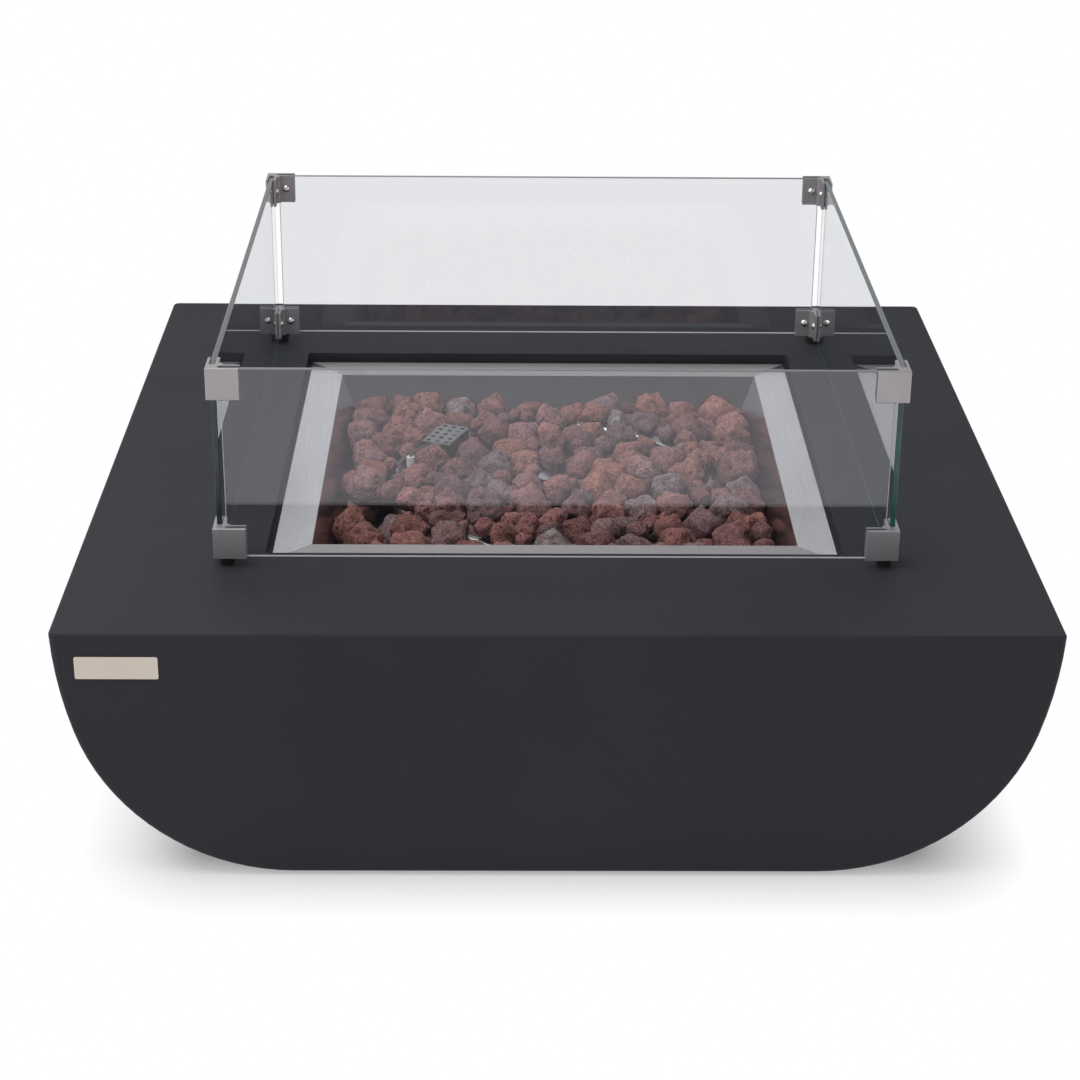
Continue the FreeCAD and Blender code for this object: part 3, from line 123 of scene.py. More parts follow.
def spots_apart(made, spots_per_metre):
    """The distance to the nearest of many scattered spots, measured in the spacing of the spots."""
    scattered = node(made, "TexVoronoi", {"Vector": place(made), "Scale": spots_per_metre})
    return scattered.outputs["Distance"]


print("ready:", ", ".join(helper.__name__ for helper in (place, noise, spots_apart)))

# %% [markdown]
# A pattern is only a number from about 0 to 1 at each point. Two helpers turn it into what a finish needs:
# a range of numbers, or a colour from a ramp.

# %% From a pattern to a range or a colour


def between(made, factor, low, high, start=0.3, end=0.7):
    """A number that runs from low to high while the factor runs from start to end."""
    ranged = node(made, "MapRange", {"Value": factor, "From Min": start, "From Max": end, "To Min": low,
                                     "To Max": high})
    return ranged.outputs["Result"]


def tone(made, factor, *stops):
    """A colour that the factor picks from stops of (position, colour)."""
    ramp = node(made, "ValToRGB", {"Fac": factor})
    elements = ramp.color_ramp.elements
    while len(elements) < len(stops):
        elements.new(0.5)
    for element, (position, colour) in zip(elements, stops):
        element.position = position
        element.color = (*colour, 1)
    return ramp.outputs["Color"]


print("ready:", ", ".join(helper.__name__ for helper in (between, tone)))

# %% [markdown]
# Grain that is too fine to model is left to a bump, which only tilts the surface. Sums on values are nodes
# as well. The last helper gives a finish to solids of the frame and leaves their shape alone.

# %% Bump, sums and dressing


def bump(made, height, depth, onto=None):
    """Tilts the surface as if it rose by depth metres where height is 1, on top of an earlier bump."""
    inputs = {"Height": height, "Distance": depth, "Strength": 1.0}
    if onto is not None:
        inputs["Normal"] = onto
    return node(made, "Bump", inputs).outputs["Normal"]


def calculate(made, operation, first, second=0.0):
    """One sum on two numbers or outputs."""
    return node(made, "Math", {0: first, 1: second}, operation=operation).outputs["Value"]


def dress(made, *names):
    """Gives a finish to solids of the frame."""
    for name in names:
        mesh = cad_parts[name].data
        mesh.materials.clear()
        mesh.materials.append(made)
    print(made.name, "on", ", ".join(names))


print("ready:", ", ".join(helper.__name__ for helper in (bump, calculate, dress)))

# %% [markdown]
# ## The concrete shell
# The shell is fibre-reinforced concrete, coloured charcoal through and through and sealed. It looks nearly
# even, with slow clouds a hand wide, a fine grain, and a few pinholes where air bubbles met the mould. One
# pattern at each of these scales gives that. Paint would look flatter, and a photo of concrete would repeat.

# %% Concrete
cloud_size, grain_size, pinholes_per_metre = 0.16, 0.0022, 45.0
grain_depth, pinhole_depth = 0.00012, 0.0004
charcoal, pale_charcoal = (0.0195, 0.0203, 0.0256), (0.0320, 0.0330, 0.0410)
concrete = finish("sealed_concrete", (0.026, 0.0265, 0.032), 0.7, specular=0.25)
clouds = noise(concrete, cloud_size, detail=4)
grain = noise(concrete, grain_size, detail=3, rough=0.6)
shade = calculate(concrete, "ADD", between(concrete, clouds, 0.0, 0.7), between(concrete, grain, 0.0, 0.3))
plug(concrete, tone(concrete, shade, (0.0, charcoal), (1.0, pale_charcoal)), "Base Color")
plug(concrete, between(concrete, clouds, 0.62, 0.76), "Roughness")
pinholes = between(concrete, spots_apart(concrete, pinholes_per_metre), 0.0, 1.0, 0.02, 0.07)
concrete_relief = bump(concrete, grain, grain_depth)
plug(concrete, bump(concrete, pinholes, pinhole_depth, onto=concrete_relief), "Normal")
dress(concrete, "table_body")

# %% [markdown]
# ## The steel pan
# The pan is stainless sheet, and its flange is brushed along each side, so the lines turn at the mitre
# seams. Such lines blur a reflection more across themselves than along themselves. From the front, the
# front and back strips therefore look duller than the side strips, and their colour is painted darker as
# painted shade for that duller reflection. The walls are smooth, and their colour is painted darker and
# brownish as a painted reflection of the rocks and the dark studio. The floor under the rocks is dull, and
# its colour is painted dark as painted shade under the rocks. The sheet could be cut up to give each part
# its own finish.
# One finish that asks where the surface point lies does the same and leaves the sheet whole.

# %% Where on the pan


def either(made, factor, first, second):
    """The first colour where the factor is 0 and the second where it is 1."""
    mixed = node(made, "Mix", {"Factor": factor, "A": first, "B": second}, data_type="RGBA")
    return mixed.outputs["Result"]


def either_number(made, factor, first, second):
    """The first number where the factor is 0 and the second where it is 1."""
    return node(made, "Mix", {"Factor": factor, "A": first, "B": second}).outputs["Result"]


flange_band, floor_band = 0.0012, 0.003
pan_low, pan_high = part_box("burner_pan")
flange_z, floor_z = pan_high.z - flange_band, pan_low.z + floor_band
pan_steel = finish("sheet_steel", (0.55, 0.55, 0.555), 0.3, metallic=1.0)
point = node(pan_steel, "SeparateXYZ", {"Vector": place(pan_steel)})
sideways = calculate(pan_steel, "ABSOLUTE", point.outputs["X"])
lengthways = calculate(pan_steel, "ABSOLUTE", point.outputs["Y"])
on_side = calculate(pan_steel, "GREATER_THAN", sideways, lengthways)
on_flange = calculate(pan_steel, "GREATER_THAN", point.outputs["Z"], flange_z)
on_floor = calculate(pan_steel, "LESS_THAN", point.outputs["Z"], floor_z)
print("the flange lies above", round(flange_z, 4), "and the floor below", round(floor_z, 4))

# %% [markdown]
# Brushing leaves fine lines. A fine noise that is stretched along X or along Y gives them, and the side of
# the square picks between the two. The lines and some broad smears shift the colour a little. Each part of
# the pan then gets a painted shade: darker front and back strips, darker brownish walls as a painted
# reflection of the rocks and the dark studio, and a dark floor as the shade under the rocks. A very shallow
# bump follows the lines of the flange.

# %% Lines and colour of the pan


def vector_sum(made, operation, first, second=(0, 0, 0)):
    """One sum on two vectors or colours, part by part."""
    return node(made, "VectorMath", {0: first, 1: second}, operation=operation).outputs["Vector"]


line_width, line_length, line_depth = 0.0006, 0.15, 0.000003
drawn_out = line_width / line_length
lines_x = noise(pan_steel, line_width, detail=4, stretch=(drawn_out, 1, 1), rough=0.7)
lines_y = noise(pan_steel, line_width, detail=4, stretch=(1, drawn_out, 1), rough=0.7)
lines = either_number(pan_steel, on_side, lines_x, lines_y)
smears = noise(pan_steel, 0.05, detail=3)
steel_light = calculate(pan_steel, "ADD", between(pan_steel, lines, 0.0, 0.5),
                        between(pan_steel, smears, 0.0, 0.5))
sheet_colour = tone(pan_steel, steel_light, (0.0, (0.70, 0.693, 0.690)), (1.0, (0.745, 0.74, 0.74)))
# Painted shade: darker front and back strips, darker brownish walls as a painted reflection, and a dark floor
# as the shade under the rocks.
inside_painted_shade = either(pan_steel, on_floor, (0.52, 0.495, 0.49, 1), (0.24, 0.23, 0.23, 1))
strip_painted_shade = either(pan_steel, on_side, (0.81, 0.77, 0.765, 1), (1, 1, 1, 1))
pan_painted_shade = either(pan_steel, on_flange, inside_painted_shade, strip_painted_shade)
plug(pan_steel, vector_sum(pan_steel, "MULTIPLY", sheet_colour, pan_painted_shade), "Base Color")
line_height = calculate(pan_steel, "MULTIPLY", lines, on_flange)
plug(pan_steel, bump(pan_steel, line_height, line_depth), "Normal")
print("lines of the pan are", line_width, "wide and", line_length, "long")

# %% [markdown]
# Roughness decides how sharply the steel mirrors. Every part of the pan gets its own range, and the lines
# or the smears move the value inside that range.

# %% Roughness of the pan
floor_dullness = 0.2
side_strip = between(pan_steel, lines, 0.24, 0.28)
front_strip = between(pan_steel, lines, 0.52, 0.58)
strip_roughness = either_number(pan_steel, on_side, front_strip, side_strip)
inside_roughness = calculate(pan_steel, "ADD", between(pan_steel, smears, 0.17, 0.23),
                             calculate(pan_steel, "MULTIPLY", on_floor, floor_dullness))
plug(pan_steel, either_number(pan_steel, on_flange, inside_roughness, strip_roughness), "Roughness")
dress(pan_steel, "burner_pan")

# %% [markdown]
# ## Small metal parts
# The clips are cast and ground to a satin face, so their lines are short. Screws are polished, and nuts and
# fittings are brass or zinc-plated steel. Each could get a tree of its own, but they differ only in colour,
# roughness, contrast and the direction and length of their lines, so one function serves for all of them.

# %% Metals


def brushed(name, colour, roughness, along, length=0.12, contrast=0.06):
    """Metal with lines along axis 0, 1 or 2: noise whose cells are width wide and drawn out to length."""
    width, depth = 0.0005, 0.00002
    made = finish(name, colour, roughness, metallic=1.0)
    stretch = [1.0, 1.0, 1.0]
    stretch[along] = width / length
    fine_lines = noise(made, width, detail=4, stretch=stretch, rough=0.7)
    cloud = noise(made, 0.06, detail=2)
    light = calculate(made, "ADD", between(made, fine_lines, 0.0, 0.6), between(made, cloud, 0.0, 0.4))
    dark = tuple(channel * (1 - contrast) for channel in colour)
    pale = tuple(min(1.0, channel * (1 + contrast)) for channel in colour)
    plug(made, tone(made, light, (0.0, dark), (1.0, pale)), "Base Color")
    plug(made, between(made, fine_lines, roughness * 0.85, roughness * 1.2), "Roughness")
    plug(made, bump(made, fine_lines, depth), "Normal")
    return made


clips = [level + "_clip_" + corner for level in ("upper", "lower")
         for corner in ("front_left", "front_right", "back_right", "back_left")]
dress(brushed("cast_steel", (0.46, 0.44, 0.455), 0.54, 2, length=0.02, contrast=0.1), *clips)
dress(brushed("polished_screw", (0.72, 0.71, 0.70), 0.1, 2, length=0.004, contrast=0.03), "clip_screws")
dress(brushed("ring_steel", (0.48, 0.47, 0.46), 0.24, 0, length=0.03),
      "burner_ring", "burner_saddles", "gas_pipe")
dress(brushed("panel_steel", (0.55, 0.55, 0.56), 0.33, 0, contrast=0.1), "control_panel")
dress(brushed("zinc_steel", (0.56, 0.56, 0.55), 0.35, 2, length=0.003, contrast=0.1),
      "foot_screws", "panel_screws", "valve_nut", "valve_stem", "stem_collar", "foot_bolts", "pilot_rivets")
dress(brushed("brass_fitting", (0.70, 0.50, 0.22), 0.3, 2, length=0.002, contrast=0.08),
      "inlet_nipple", "inlet_locknuts", "air_mixer", "inlet_elbow", "pipe_nuts", "gas_inlet",
      "thermocouple", "panel_inserts", "igniter_terminals")
dress(brushed("die_cast_metal", (0.50, 0.50, 0.50), 0.5, 2, length=0.001, contrast=0.12), "gas_valve")
dress(brushed("nickel_plate", (0.61, 0.54, 0.475), 0.36, 0, length=0.05, contrast=0.05), "name_plate")

# %% [markdown]
# The guard over the pilot has been hot. Its pierced top is grey, a rim of straw colour runs round it, and
# its sides are dark. Such colours could be painted by hand. A ramp over the depth below the guard's top
# gives the same bands and keeps them level all round.

# %% Heat colours of the guard


def colour_of(made):
    """The output that is plugged into a finish's colour."""
    return made.node_tree.nodes["Principled BSDF"].inputs["Base Color"].links[0].from_socket


hot_depth = 0.03
guard_steel = brushed("guard_steel", (0.24, 0.25, 0.25), 0.32, 0, length=0.03, contrast=0.08)
guard_height = node(guard_steel, "SeparateXYZ", {"Vector": place(guard_steel)}).outputs["Z"]
guard_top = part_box("pilot_guard")[1].z
below_top = between(guard_steel, guard_height, 0.0, 1.0, guard_top, guard_top - hot_depth)
heat_colour = tone(guard_steel, below_top, (0.004, (1.0, 1.0, 1.0)), (0.012, (1.9, 1.65, 1.15)),
                   (0.07, (1.6, 1.3, 0.85)), (0.12, (0.45, 0.39, 0.31)), (1.0, (0.2, 0.185, 0.17)))
plug(guard_steel, vector_sum(guard_steel, "MULTIPLY", colour_of(guard_steel), heat_colour), "Base Color")
dress(guard_steel, "pilot_guard", "pilot_bracket", "electrode_holder", "spark_electrode")

# %% [markdown]
# ## Rubber, moulded plastic and ceramic
# These have no metal in them. Their life is in the fine texture of the mould, and in a colour and a
# roughness that are not quite even. One function makes them all, and a higher roughness tells dull rubber
# from smoother plastic.

# %% Rubber, plastic and ceramic


def moulded(name, colour, roughness, depth=0.00004, variation=0.15):
    """A moulded finish: a fine grain, with colour and roughness that vary a little."""
    grain_width = 0.0007
    made = finish(name, colour, roughness, specular=0.4)
    skin = noise(made, grain_width, detail=2, rough=0.6)
    cloud = noise(made, 0.02, detail=2)
    dark = tuple(channel * (1 - variation) for channel in colour)
    pale = tuple(min(1.0, channel * (1 + variation)) for channel in colour)
    plug(made, tone(made, cloud, (0.3, dark), (0.7, pale)), "Base Color")
    plug(made, between(made, cloud, roughness * 0.9, min(1.0, roughness * 1.12)), "Roughness")
    plug(made, bump(made, skin, depth), "Normal")
    return made


dress(moulded("black_rubber", (0.016, 0.016, 0.017), 0.6), "foot_pads", "screen_feet", "slot_liners")
dress(moulded("black_housing", (0.02, 0.02, 0.022), 0.38),
      "igniter_housing", "igniter_nut", "igniter_button")
dress(moulded("battery_sleeve", (0.10, 0.10, 0.11), 0.3, depth=0.00001), "igniter_battery")
dress(moulded("white_ceramic", (0.78, 0.77, 0.73), 0.45, depth=0.00002, variation=0.05),
      "electrode_insulator")

# %% [markdown]
# The knob's pointer is a groove filled with white paint, so that a turn of the knob shows. The paint could
# be a thin piece of its own. The groove is already cut in the knob, so it is enough that the finish turns
# white there: in a strip a little wider than the groove, above the knob's middle, and in a thin slab at the
# depth of the groove's floor.

# %% Paint in the pointer groove


def close_to(made, value, target, reach):
    """1 where a value is no further than reach from the target, and 0 elsewhere."""
    return node(made, "Math", {0: value, 1: target, 2: reach}, operation="COMPARE").outputs["Value"]


white_paint = (0.75, 0.75, 0.73, 1)
paint_width, groove_depth, slab_reach = 0.0018, 0.0006, 0.0002
knob_plastic = moulded("knob_plastic", (0.022, 0.022, 0.024), 0.42)
knob_low, knob_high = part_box("control_knob")
knob_middle = (knob_low + knob_high) / 2
at = node(knob_plastic, "SeparateXYZ", {"Vector": place(knob_plastic)})
in_width = close_to(knob_plastic, at.outputs["X"], knob_middle.x, paint_width / 2)
at_depth = close_to(knob_plastic, at.outputs["Y"], knob_high.y - groove_depth, slab_reach)
in_upper_half = calculate(knob_plastic, "GREATER_THAN", at.outputs["Z"], knob_middle.z)
painted = calculate(knob_plastic, "MULTIPLY", in_width, at_depth)
painted = calculate(knob_plastic, "MULTIPLY", painted, in_upper_half)
plug(knob_plastic, either(knob_plastic, painted, colour_of(knob_plastic), white_paint), "Base Color")
dress(knob_plastic, "control_knob")

# %% [markdown]
# ## Glass
# A sheet of glass looks clear through its faces and green through its edges, where the light has a long way
# to go. The surface knows which it is: on a face the normal points through the sheet, and on an edge it
# doesn't. Upper and lower edges are told apart by their height, because the normal turns round for a ray
# that meets the edge from inside the sheet. A thin white rim is painted along the foot of the front and
# back panes as a painted highlight, where light that runs inside the glass comes out. The edges could be
# pieces of their own, but a pane is one solid, so one finish tells them apart.

# %% Faces, edges and rim of the glass
face_limit, level_limit = 0.9, 0.5
highlight_rim_height = 0.0023
glass = finish("clear_glass", (0.85, 0.86, 0.89), 0.0)
pane_low, pane_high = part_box("glass_front")
screen_middle_y = (pane_low.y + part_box("glass_back")[1].y) / 2
spot = node(glass, "SeparateXYZ", {"Vector": place(glass)})
facing = node(glass, "SeparateXYZ", {"Vector": node(glass, "TexCoord").outputs["Normal"]})
from_middle = calculate(glass, "SUBTRACT", spot.outputs["Y"], screen_middle_y)
on_side_pane = calculate(glass, "GREATER_THAN", calculate(glass, "ABSOLUTE", spot.outputs["X"]),
                         calculate(glass, "ABSOLUTE", from_middle))
through = either_number(glass, on_side_pane, facing.outputs["Y"], facing.outputs["X"])
on_edge = calculate(glass, "LESS_THAN", calculate(glass, "ABSOLUTE", through), face_limit)
level = calculate(glass, "GREATER_THAN", calculate(glass, "ABSOLUTE", facing.outputs["Z"]), level_limit)
in_low_half = calculate(glass, "LESS_THAN", spot.outputs["Z"], (pane_low.z + pane_high.z) / 2)
on_right = calculate(glass, "GREATER_THAN", spot.outputs["X"], 0.0)
outside = calculate(glass, "SUBTRACT", 1.0, node(glass, "NewGeometry").outputs["Backfacing"])
# Painted highlight: a white rim on the outer faces at the foot of the front and back panes, for light that
# comes out of the glass there.
on_highlight_rim = calculate(glass, "LESS_THAN", spot.outputs["Z"], pane_low.z + highlight_rim_height)
on_highlight_rim = calculate(glass, "MULTIPLY", on_highlight_rim, calculate(glass, "SUBTRACT", outside, on_side_pane))
on_highlight_rim = calculate(glass, "MAXIMUM", calculate(glass, "SUBTRACT", on_highlight_rim, on_edge), 0.0)
print("panes are", round(pane_high.z - pane_low.z, 4), "high and their rim", highlight_rim_height)

# %% [markdown]
# Light that enters a sheet runs on inside it and comes out at its edges. The lower edges look brightest,
# white at the front and back and teal at the sides. The upper edges are dark. The standing ends are dark
# green on the side panes and grey on the other two. A clear material could find all this by itself, but
# light that bounces about inside a thin sheet takes very many samples, so each edge gets its own colour.

# %% Colours of the glass
edge_mottle = noise(glass, 0.03, detail=2)
left_end = tone(glass, edge_mottle, (0.3, (0.005, 0.016, 0.014)), (0.7, (0.012, 0.034, 0.030)))
right_end = tone(glass, edge_mottle, (0.3, (0.010, 0.060, 0.044)), (0.7, (0.016, 0.120, 0.085)))
side_pane_end = either(glass, on_right, left_end, right_end)
standing = either(glass, on_side_pane, (0.50, 0.49, 0.49, 1), side_pane_end)
side_upper = either(glass, on_right, (0.040, 0.042, 0.048, 1), (0.032, 0.062, 0.068, 1))
upper = either(glass, on_side_pane, (0.12, 0.125, 0.13, 1), side_upper)
lower = either(glass, on_side_pane, (0.97, 0.98, 0.98, 1), (0.40, 0.80, 0.72, 1))
edge_colour = either(glass, level, standing, either(glass, in_low_half, upper, lower))
face_colour = either(glass, on_side_pane, (0.85, 0.86, 0.89, 1), (0.80, 0.815, 0.85, 1))
# The painted highlight rim is near white.
face_colour = either(glass, on_highlight_rim, face_colour, (0.92, 0.93, 0.93, 1))
plug(glass, either(glass, on_edge, face_colour, edge_colour), "Base Color")
print("colours of", glass.name, "are plugged in")

# %% [markdown]
# Faces let light through, while the edges and the painted highlight rim scatter it. The lower edges reflect
# like metal, so that they send nearly all light back and look bright. Light from lamps would stop at such a
# material, so rays on their way to a lamp pass a see-through shader instead, and the rocks stay lit.

# %% Light in the glass
glass_shader = glass.node_tree.nodes["Principled BSDF"]
glass_shader.inputs["IOR"].default_value = 1.61
glass_shader.inputs["Specular Tint"].default_value = (0.93, 0.925, 1.0, 1)
ground = calculate(glass, "MAXIMUM", on_edge, on_highlight_rim)
plug(glass, between(glass, ground, 1.0, 0.0, 0, 1), "Transmission Weight")
plug(glass, between(glass, ground, 0.0, 0.25, 0, 1), "Roughness")
lower_edge = calculate(glass, "MULTIPLY", calculate(glass, "MULTIPLY", level, in_low_half), on_edge)
plug(glass, lower_edge, "Metallic")
lamp_way = node(glass, "LightPath").outputs["Is Shadow Ray"]
clear = node(glass, "BsdfTransparent", {"Color": (0.90, 0.91, 0.92, 1)})
shown = node(glass, "MixShader", {0: lamp_way, 1: glass_shader.outputs[0], 2: clear.outputs[0]})
glass.node_tree.links.new(shown.outputs[0], glass.node_tree.nodes["Material Output"].inputs["Surface"])
dress(glass, "glass_front", "glass_right", "glass_back", "glass_left")

# %% [markdown]
# ## Lava rock: the shape
# Lava rock is frozen froth: a lump with blunt corners, dented and full of pores. The frame's faceted rocks
# give each lump its place and its room. A rock here is a distance from its middle for every direction. The
# distance to the facets, taken as a soft minimum, blunts the corners. Noise then dents it, and pores are
# little hollows round points scattered in space. Sculpting by hand could look as good, but would take too
# long for 261 rocks. The noise comes first.

# %% Noise in space


def scramble(cell_x, cell_y, cell_z, seed):
    """A steady random number from 0 to 1 for each whole cell, mixed from its three counts and a seed."""
    mixed = (cell_x * 73856093) ^ (cell_y * 19349663) ^ (cell_z * 83492791) ^ (seed * 2654435761)
    mixed = (mixed ^ (mixed >> 13)) * 1274126177
    mixed = mixed ^ (mixed >> 16)
    return (mixed & 0xFFFFFF) / 0xFFFFFF


def blobs(points, size, seed):
    """Smooth noise from -1 to 1: random numbers on a lattice of the given size, eased between its corners."""
    scaled = points / size
    corner = np.floor(scaled).astype(np.int64)
    share = scaled - corner
    share = share * share * (3 - 2 * share)
    total = np.zeros(len(points))
    for step_x in (0, 1):
        for step_y in (0, 1):
            for step_z in (0, 1):
                weight = (np.abs(1 - step_x - share[:, 0]) * np.abs(1 - step_y - share[:, 1])
                          * np.abs(1 - step_z - share[:, 2]))
                parts = corner[:, 0] + step_x, corner[:, 1] + step_y, corner[:, 2] + step_z
                total += weight * scramble(*parts, seed)
    return 2 * total - 1


print("noise at three points:", blobs(np.array([[0, 0, 0.1], [0.1, 0, 0], [0, 0.1, 0]]), 0.03, 1).round(2))

# %% [markdown]
# Gas leaves round hollows in the froth. They could be cut out of the mesh, but that is thousands of cuts.
# Space is divided into cells instead, some cells hold a ball, and each point asks how deep it lies in one.

# %% Pores in space


def pores(points, size, radius, share, seed):
    """How deep in a pore each point is, from 0 to 1. A share of the cells of the given size hold a ball
    round a random spot, its radius 0.6 to 1.4 times the given one. Depth is 1 - (gap to spot / ball) ^ 2."""
    least_ball, ball_spread = 0.6, 0.8
    cell = np.floor(points / size).astype(np.int64)
    depth = np.zeros(len(points))
    for step_x in (-1, 0, 1):
        for step_y in (-1, 0, 1):
            for step_z in (-1, 0, 1):
                near = cell + (step_x, step_y, step_z)
                parts = [near[:, axis] for axis in range(3)]
                spot_in_cell = np.stack([scramble(*parts, seed + axis) for axis in range(3)], axis=1)
                gap = np.linalg.norm((near + spot_in_cell) * size - points, axis=1)
                ball = radius * (least_ball + ball_spread * scramble(*parts, seed + 3))
                held = scramble(*parts, seed + 4) < share
                depth = np.maximum(depth, np.where(held, np.clip(1 - (gap / ball) ** 2, 0, 1), 0))
    return depth


ticks = np.linspace(0, 0.05, 15)
sample = np.stack(np.meshgrid(ticks, ticks, ticks), axis=-1).reshape(-1, 3)
in_pores = pores(sample, size=0.0078, radius=0.0026, share=0.5, seed=31) > 0
print("wide pores fill", round(in_pores.mean(), 3), "of a cube of space")

# %% [markdown]
# A ball made of six bent squares has no poles, so its faces stay nearly even. Each square is a grid of two
# parameters pushed out to the unit ball, and points shared by two squares are merged. A ball of rings would
# crowd its faces at the two poles.

# %% A ball of six grids


def ball_grid(cells):
    """Directions and square faces of a ball: each side of a cube has cells by cells faces, its lines are at
    the tangents of evenly spaced angles, and every point is pushed in or out to a distance of 1."""
    line = np.tan(np.linspace(-np.pi / 4, np.pi / 4, cells + 1))
    across, along = np.meshgrid(line, line, indexing="ij")
    flat = np.ones_like(across)
    sides = [(flat, across, along), (-flat, along, across), (along, flat, across),
             (across, -flat, along), (across, along, flat), (along, across, -flat)]
    points = np.concatenate([np.stack(side, axis=-1).reshape(-1, 3) for side in sides])
    points /= np.linalg.norm(points, axis=1, keepdims=True)
    count = (cells + 1) ** 2
    first = (np.arange(cells)[:, None] * (cells + 1) + np.arange(cells)).ravel()
    square = np.stack([first, first + cells + 1, first + cells + 2, first + 1], axis=1)
    faces = np.concatenate([square + side * count for side in range(6)])
    _, keep, merged = np.unique(points.round(6), axis=0, return_index=True, return_inverse=True)
    return points[keep], merged.ravel()[faces]


balls = {cells: ball_grid(cells) for cells in (7, 10, 13, 17, 22)}
print("faces of each ball:", {cells: len(ball[1]) for cells, ball in balls.items()})

# %% [markdown]
# The frame's rocks come as one soup of loose triangles. Equal corners are merged first. Triangles that
# share a corner then belong to one rock, so each corner takes the lowest label among its triangles until
# nothing changes. Parting loose pieces into objects also works, but makes 261 objects to throw away again.

# %% Tell the rocks apart


def merged_corners(name):
    """The corners of a node's mesh, each only once, and its triangles as three corner numbers each."""
    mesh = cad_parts[name].data
    mesh.calc_loop_triangles()
    corners = np.empty(len(mesh.vertices) * 3, np.float32)
    mesh.vertices.foreach_get("co", corners)
    triangles = np.empty(len(mesh.loop_triangles) * 3, np.int32)
    mesh.loop_triangles.foreach_get("vertices", triangles)
    places, merged = np.unique(corners.reshape(-1, 3).round(6), axis=0, return_inverse=True)
    return places, merged.ravel()[triangles].reshape(-1, 3)


def rock_labels(places, triangles):
    """One label for all corners of a rock: the lowest number among the corners that its triangles join."""
    labels = np.arange(len(places))
    while True:
        lowest = labels[triangles].min(axis=1)
        spread = labels.copy()
        np.minimum.at(spread, triangles.ravel(), np.repeat(lowest, 3))
        if np.array_equal(spread, labels):
            return labels
        labels = spread


print("ready:", ", ".join(helper.__name__ for helper in (merged_corners, rock_labels)))

# %% [markdown]
# A rock's facets are then planes, each with a normal and a distance from the rock's middle. That is all that
# the rounder rock needs to know of the faceted one.

# %% Facets of every rock


def facets(places, triangles, middle):
    """Normals of a rock's facets and their distances from its middle, one row for each direction."""
    smallest = 1e-9
    a, b, c = (places[triangles[:, corner]].astype(float) for corner in range(3))
    normals = np.cross(b - a, c - a)
    areas = np.linalg.norm(normals, axis=1)
    solid = areas > smallest
    normals = normals[solid] / areas[solid, None]
    distances = ((a[solid] - middle) * normals).sum(axis=1)
    normals, distances = np.where(distances < 0, -1, 1)[:, None] * normals, np.abs(distances)
    _, kept = np.unique(normals.round(2), axis=0, return_index=True)
    return normals[kept], distances[kept]


def rock_cells(name):
    """The middle, facet normals and facet distances of every rock in a node of the frame."""
    places, triangles = merged_corners(name)
    labels = rock_labels(places, triangles)
    cells = []
    for label in np.unique(labels):
        own = triangles[labels[triangles[:, 0]] == label]
        middle = places[np.unique(own)].mean(axis=0).astype(float)
        cells.append((middle, *facets(places, own, middle)))
    return cells


top_cells = sorted(rock_cells("lava_rocks"), key=lambda cell: cell[0][1])
bed_cells = rock_cells("lava_bed")
print("rocks on top:", len(top_cells), "rocks below:", len(bed_cells))

# %% [markdown]
# Three rocks lie a little differently than in the frame. Two sink, so that the white sleeve of the pilot and
# a stretch of the ring show between the rocks, and a small one moves onto the ring. Each is the rock whose
# middle is nearest to a place seen from above, and the step says how far it moves.

# %% Settle three rocks
settled = {"bares the sleeve": ((-0.1684, 0.0096), (0, 0, -0.011)),
           "bares the ring": ((0.1424, 0.0963), (0, 0, -0.010)),
           "rests on the ring": ((-0.0911, -0.1690), (0.009, -0.015, 0.005))}
for purpose, (place_from_above, step) in settled.items():
    nearest = min(top_cells, key=lambda cell: np.hypot(*(cell[0][:2] - place_from_above)))
    nearest[0][:] += step
    print("a rock", purpose, "at", nearest[0].round(3))

# %% [markdown]
# The soft minimum adds up high powers of (facing share / facet distance) and takes the root: near a facet
# one term rules and the rock is flat, and at a corner several count and round it off. Lumps and crags are
# then put on, and bites as wide as a thumb and two sizes of pore are taken out. All of them shrink with a
# small rock.

# %% The surface of one rock
corner_power, full_size = 17.0, 0.019
lump_height, crag_height, bite_depth = 0.0030, 0.0012, 0.0032
wide_depth, fine_depth, skin_loss = 0.0014, 0.0008, 0.0004
relief_span, top_painted_light, fine_darkness = 0.006, 0.32, 0.75


